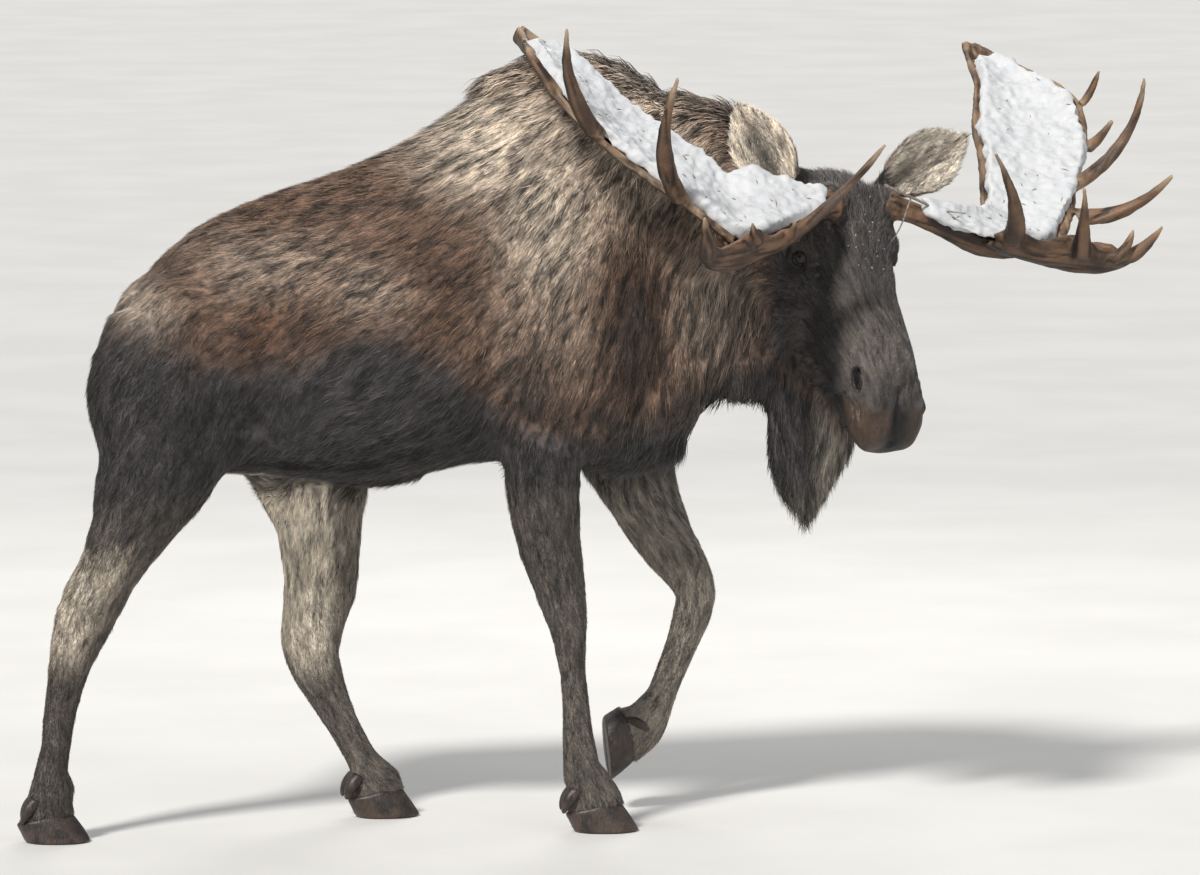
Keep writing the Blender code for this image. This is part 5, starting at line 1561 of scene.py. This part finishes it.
def make_antler(side, tag, material):
    antler = antler_body(side, tag)
    places = points_of(antler)
    normals = normals_of(antler)
    groove, wear = antler_grain(side, tag, places)
    # grooves, pearls round the burr, and lumps
    from_burr = np.linalg.norm(places - np.array(on_antler(side, *BURR)), axis=1)
    pearl = np.maximum(0, noise(places, 95.0, 73)) * fade(from_burr, 0.070)
    lump = 0.0022 * noise(places, 16.0, 74) + 0.0012 * noise(places, 45.0, 75)
    places = places + normals * (lump - 0.0021 * np.maximum(0, groove) + 0.009 * pearl)[:, None]
    set_points(antler, places)
    edge = np.zeros(len(places))
    for outline in zip(*PALM[tag]):
        d, _ = to_path(places, [on_antler(side, *p) for p in outline])
        edge = np.maximum(edge, step(d, 0.040, 0.012))
    # painted shade: faces turned away from the crown are darkened; this goes into the alpha of
    # the wear attribute
    under = step(normals @ np.array(CROWN), 0.30, -0.40) * (1 - wear)
    rows = np.stack([0.9 * wear, edge, 0.5 + 0.5 * groove, under], 1)
    add_attribute(antler, "wear", "FLOAT_COLOR", rows)
    nodes = ["beam_" + tag, "palm_" + tag, "brow_palm_" + tag]
    return finish_piece(antler, "antler_" + tag, material, nodes)


def make_snow(side, tag, material):
    """Old snow in the bowl of the palm, its edge crumbled."""
    snow = sheet("snow_bed_" + tag, side, snow_edges(tag), SNOW_DEPTH, SNOW_CUP,
                 SNOW_DEPTH * 0.45)
    cleaned(snow)
    apply_modifier(snow, "REMESH", mode="VOXEL", voxel_size=SNOW_CELL)
    largest_only(snow)
    relax(snow, 4)
    places = points_of(snow)
    normals = normals_of(snow)
    lump = (0.0070 * noise(places, 13.0, 81) + 0.0065 * noise(places, 34.0, 82)
            + 0.0042 * noise(places, 80.0, 83))
    set_points(snow, places + normals * lump[:, None])
    return finish_piece(snow, "snow_cover_" + tag, material, ["snow_" + tag])


# small bits: how many, their least and greatest length, their half width
LITTER = (34, (0.006, 0.022), 0.0011)
CHIPS = (22, (0.002, 0.006), 0.0014)
LITTER_SEED, CHIPS_SEED = 101, 105


def scatter(name, on, region, bits, seed, material):
    """Small bits lying on a surface: each a thin pointed stick, turned at random."""
    count, lengths, width = bits
    draw = np.random.default_rng(seed)
    tree = BVHTree.FromObject(on, bpy.context.evaluated_depsgraph_get())
    sticks = []
    while len(sticks) < count:
        place, direction = region(draw)
        hit, normal, _, _ = tree.ray_cast(place, direction)
        if hit is None:
            continue
        length = draw.uniform(*lengths)
        turn = Vector(draw.standard_normal(3))
        along = (turn - normal * turn.dot(normal)).normalized()
        sticks.append(bar("bit", [hit - along * length / 2, hit + normal * 0.0012,
                                  hit + along * length / 2 + normal * 0.001],
                          [width * 0.5, width, width * 0.3], 5))
    return finish_piece(cleaned(joined(name, sticks)), name, material)


def forehead(draw):
    """A random place in front of the forehead, and the way to it."""
    place = on_head(draw.uniform(-0.02, 0.20), 0.25, draw.normal(0, 0.035))
    return place, -CROWN


def over_palm(side, tag):
    """Random places above the snow of a palm, and the way down to it."""
    rows = snow_edges(tag)

    def region(draw):
        k = draw.integers(1, len(rows) - 2)
        inner, outer = rows[k]
        after = rows[k + 1]
        t = draw.uniform(0.12, 0.88)
        s = draw.random()
        a = on_antler(side, *inner).lerp(on_antler(side, *outer), t)
        b = on_antler(side, *after[0]).lerp(on_antler(side, *after[1]), t)
        place = a.lerp(b, s)
        up = (CROWN + NOSE * 0.25).normalized()
        return place + up * 0.3, -up
    return region


# ---- eyes, lids, hooves -----------------------------------------------------------
def make_eye(side, tag, material, lid_material):
    """An eyeball that bulges at its front, and the rims of its two lids."""
    centre, gaze, forward, upward = eye_frame(side)
    nothing_selected()
    bpy.ops.mesh.primitive_uv_sphere_add(segments=48, ring_count=32, radius=EYE_RADIUS,
                                         location=centre)
    eye = bpy.context.object
    bpy.ops.object.transform_apply(location=True, rotation=True, scale=True)
    gap = points_of(eye) - np.array(centre)
    facing = gap @ np.array(gaze) / EYE_RADIUS
    off_axis = np.sqrt(np.maximum(0, 1 - facing ** 2)) + (facing < 0)
    bulge = 1 + 0.045 * step(off_axis, 0.75, 0.45)
    set_points(eye, np.array(centre) + gap * bulge[:, None])
    rows = np.stack([off_axis, facing, facing], 1)
    add_attribute(eye, "gaze", "FLOAT_VECTOR", rows)
    finish_piece(eye, "eyeball_" + tag, material, ["eye_" + tag])
    steps = 12
    for name, bow in (("upper", 1), ("lower", -1)):
        path = []
        for k in range(steps + 1):
            a = (k / steps * 2 - 1) * EYE_HALF * 0.98
            c = bow * lid_arch(a)
            out = math.sqrt(max(0.0, (LID_RADIUS - LID_CORNER) ** 2 - a * a - c * c))
            path.append(centre + forward * a + upward * c + gaze * out)
        lid = bar("lid", path, [LID_CORNER] + [LID_RIM] * (steps - 1) + [LID_CORNER], 10)
        finish_piece(cleaned(joined("lid", [lid])), f"lid_{name}_{tag}", lid_material)


CLAW_LENGTH = 0.162
CLAW_HALF = 0.052           # greatest half width of the outer wall
CLAW_HEIGHT = 0.082
# from the sole up: height and size
CLAW_LEVELS = [(0.0, 0.93), (0.03, 0.985), (0.10, 1.0), (0.22, 0.975), (0.36, 0.945),
               (0.50, 0.91), (0.66, 0.87), (0.82, 0.83), (1.0, 0.78)]


def claw_width(ahead):
    """Share of the outer wall's width from heel, -1, to toe, 1."""
    if ahead > 0:
        return (1 - ahead ** 2.2) ** 0.85
    return (1 - abs(ahead) ** 3.2) ** 0.6


def make_claw(foot, side, tag, material):
    """Half of the hoof: a straight wall in the cleft, a bowed one outside, a sharp toe."""
    at, forward, across, up, _ = foot_frame(foot)
    claw = bar("claw", [at + up * (BLANK_HEIGHT * level) for level, _ in CLAW_LEVELS],
               [BLANK_RADIUS] * len(CLAW_LEVELS), 36)
    places = []
    for p in points_of(claw):
        gap = Vector(p) - at
        level = gap.dot(up) / BLANK_HEIGHT
        share = read_off(CLAW_LEVELS, level)
        turn = math.atan2(gap.dot(across), gap.dot(forward))
        bow = claw_width(max(-1.0, min(1.0, math.cos(turn)))) if math.sin(turn) > 0 else 0.0
        ahead = (0.5 * math.cos(turn) * share - 0.27 * level) * CLAW_LENGTH
        out = 0.0015 + CLAW_HALF * bow * share + 0.07 * (ahead + 0.06)
        height = level * (CLAW_HEIGHT + 0.30 * ahead)
        places.append(at + forward * ahead + across * (side * out) + up * height)
    set_points(claw, places)
    cleaned(claw)
    apply_modifier(claw, "SUBSURF", levels=1, render_levels=1)
    places = points_of(claw)
    wear = 0.0007 * noise(places, 40.0, 91) + 0.0004 * noise(places, 150.0, 92)
    # the soles on the floor stay flat
    if foot != "fore_L":
        wear = wear * step(places[:, 2], 0.002, 0.010)
    places = places + normals_of(claw) * wear[:, None]
    places[:, 2] = np.maximum(places[:, 2], 0)
    set_points(claw, places)
    finish_piece(claw, f"claw_{foot}_{tag}", material, [f"hoof_{foot}_{tag}"])


SPUR_RADII = [0.0175, 0.0180, 0.0178, 0.0168, 0.0150, 0.0122, 0.0085, 0.0035]


def make_dewclaw(foot, side, tag, material):
    """A blunt spur behind the pastern, bowed down and back."""
    setback = foot_frame(foot)[4]
    root = on_foot(foot, -setback + 0.004, side * 0.023, DEWCLAW_HEIGHT)
    tip = on_foot(foot, -setback - 0.036, side * 0.031, 0.050)
    bend = on_foot(foot, -0.006, side * 0.004, 0) - on_foot(foot, 0, 0, 0)
    places = bowed(root, tip, bend, np.linspace(0, 1, len(SPUR_RADII)))
    spur = cleaned(bar("spur", places, SPUR_RADII, 16))
    apply_modifier(spur, "SUBSURF", levels=1, render_levels=1)
    finish_piece(spur, f"dew_claw_{foot}_{tag}", material,
                 [f"dewclaw_{foot}_{tag}"])


# stem and side twigs, on the left antler's axes: radius, line
TWIG = [
    (0.0042, [(0.030, 0.010, 0.085), (0.150, -0.030, 0.068), (0.240, -0.070, 0.062),
              (0.330, -0.120, 0.060)]),
    (0.0026, [(0.200, -0.050, 0.066), (0.205, -0.070, 0.100), (0.225, -0.085, 0.120)]),
    (0.0026, [(0.235, -0.068, 0.062), (0.280, -0.100, 0.030), (0.300, -0.118, 0.005)]),
    (0.0026, [(0.110, -0.015, 0.074), (0.090, -0.075, 0.020), (0.075, -0.105, -0.040)]),
]


def make_twig(material):
    """A dead twig caught at the base of the left antler."""
    parts = []
    for thick, line in TWIG:
        path = [on_antler(1, *p) for p in smooth_rows(line, 4)]
        radii = [thick * (1 - 0.6 * j / (len(path) - 1)) for j in range(len(path))]
        parts.append(bar("twig", path, radii, 7))
    twig = cleaned(joined("twig", parts))
    finish_piece(twig, "twig", material)


# ---- studio --------------------------------------------------------------------
SKY_COLOUR, SKY_STRENGTH = (0.93, 0.96, 1.0), 0.45
SUN_COLOUR, SUN_STRENGTH = (1.0, 0.975, 0.94), 3.9
SUN_TRAVEL = Vector((2.8, 3.7, -4.3))
SUN_ANGLE = math.radians(9)     # how wide the sun looks: it softens the shadows
FLOOR_SIZE = 300
LENS, SENSOR = 264, 36          # in mm
VIEW_AZIMUTH, VIEW_ELEVATION = math.radians(-8), math.radians(6)
VIEW_DISTANCE = 22
VIEW_MIDDLE = (0.2384, -0.1, 0.9823)


def pointed(thing, direction):
    """Turns a lamp or camera to look along a direction."""
    thing.rotation_euler = direction.to_track_quat("-Z", "Y").to_euler()
    return thing


def area_light(name, place, aim, size, power, colour):
    data = bpy.data.lights.new(name, "AREA")
    data.shape = "DISK"
    data.size = size
    data.energy = power
    data.color = colour
    light = pointed(placed(name, data), aim - place)
    light.location = place


def make_studio():
    """Pale floor, even sky, a low sun behind the viewer's shoulder and two soft lamps."""
    nothing_selected()
    bpy.ops.mesh.primitive_plane_add(size=FLOOR_SIZE, location=(0, 0, 0))
    floor = bpy.context.object
    floor.name = "floor"
    floor.data.materials.append(plain_finish("pale_floor"))
    world = bpy.data.worlds.new("sky")
    world.use_nodes = True
    sky = world.node_tree.nodes["Background"]
    sky.inputs["Color"].default_value = (*SKY_COLOUR, 1)
    sky.inputs["Strength"].default_value = SKY_STRENGTH
    bpy.context.scene.view_settings.view_transform = "Standard"
    bpy.context.scene.world = world
    key = bpy.data.lights.new("key", "SUN")
    key.energy = SUN_STRENGTH
    key.angle = SUN_ANGLE
    key.color = SUN_COLOUR
    pointed(placed("key", key), SUN_TRAVEL)
    aim = on_body(0.2, 0, 1.1)
    area_light("fill", on_body(4.4, -4.6, 2.6), aim, 4.0, 60, (0.96, 0.98, 1.0))
    area_light("rim", on_body(1.0, 5.0, 4.8), aim, 3.0, 120, (1.0, 0.98, 0.95))


def make_camera():
    level = math.cos(VIEW_ELEVATION)
    back = Vector((math.sin(VIEW_AZIMUTH) * level, -math.cos(VIEW_AZIMUTH) * level,
                   math.sin(VIEW_ELEVATION)))
    data = bpy.data.cameras.new("camera")
    data.sensor_width = SENSOR
    data.lens = LENS
    data.clip_end = 500
    camera = pointed(placed("camera", data), -back)
    camera.location = on_body(*VIEW_MIDDLE) + back * VIEW_DISTANCE
    bpy.context.scene.camera = camera


def build():
    """The whole animal, in the order that keeps its random draws the same."""
    make_camera()
    make_studio()
    fur = fur_finish("coat_hair")
    skin = make_skin(skin_finish())
    make_coat(skin, fur)
    bone = antler_finish()
    white = snow_finish()
    bark = plain_finish("dead_wood")
    litter = plain_finish("litter")
    chips = plain_finish("ice_and_chips")
    wet = eye_finish()
    lid = plain_finish("lid_skin")
    for side, tag in ((-1, "R"), (1, "L")):
        make_antler(side, tag, bone)
        snow = make_snow(side, tag, white)
        scatter("snow_litter_" + tag, snow, over_palm(side, tag), LITTER, LITTER_SEED + side,
                litter)
        make_eye(side, tag, wet, lid)
    scatter("forehead_chips", skin, forehead, CHIPS, CHIPS_SEED, chips)
    horn = hoof_finish()
    for foot in FEET:
        for side, tag in ((-1, "R"), (1, "L")):
            make_claw(foot, side, tag, horn)
            make_dewclaw(foot, side, tag, horn)
    make_twig(bark)


build()
bpy.context.view_layer.update()
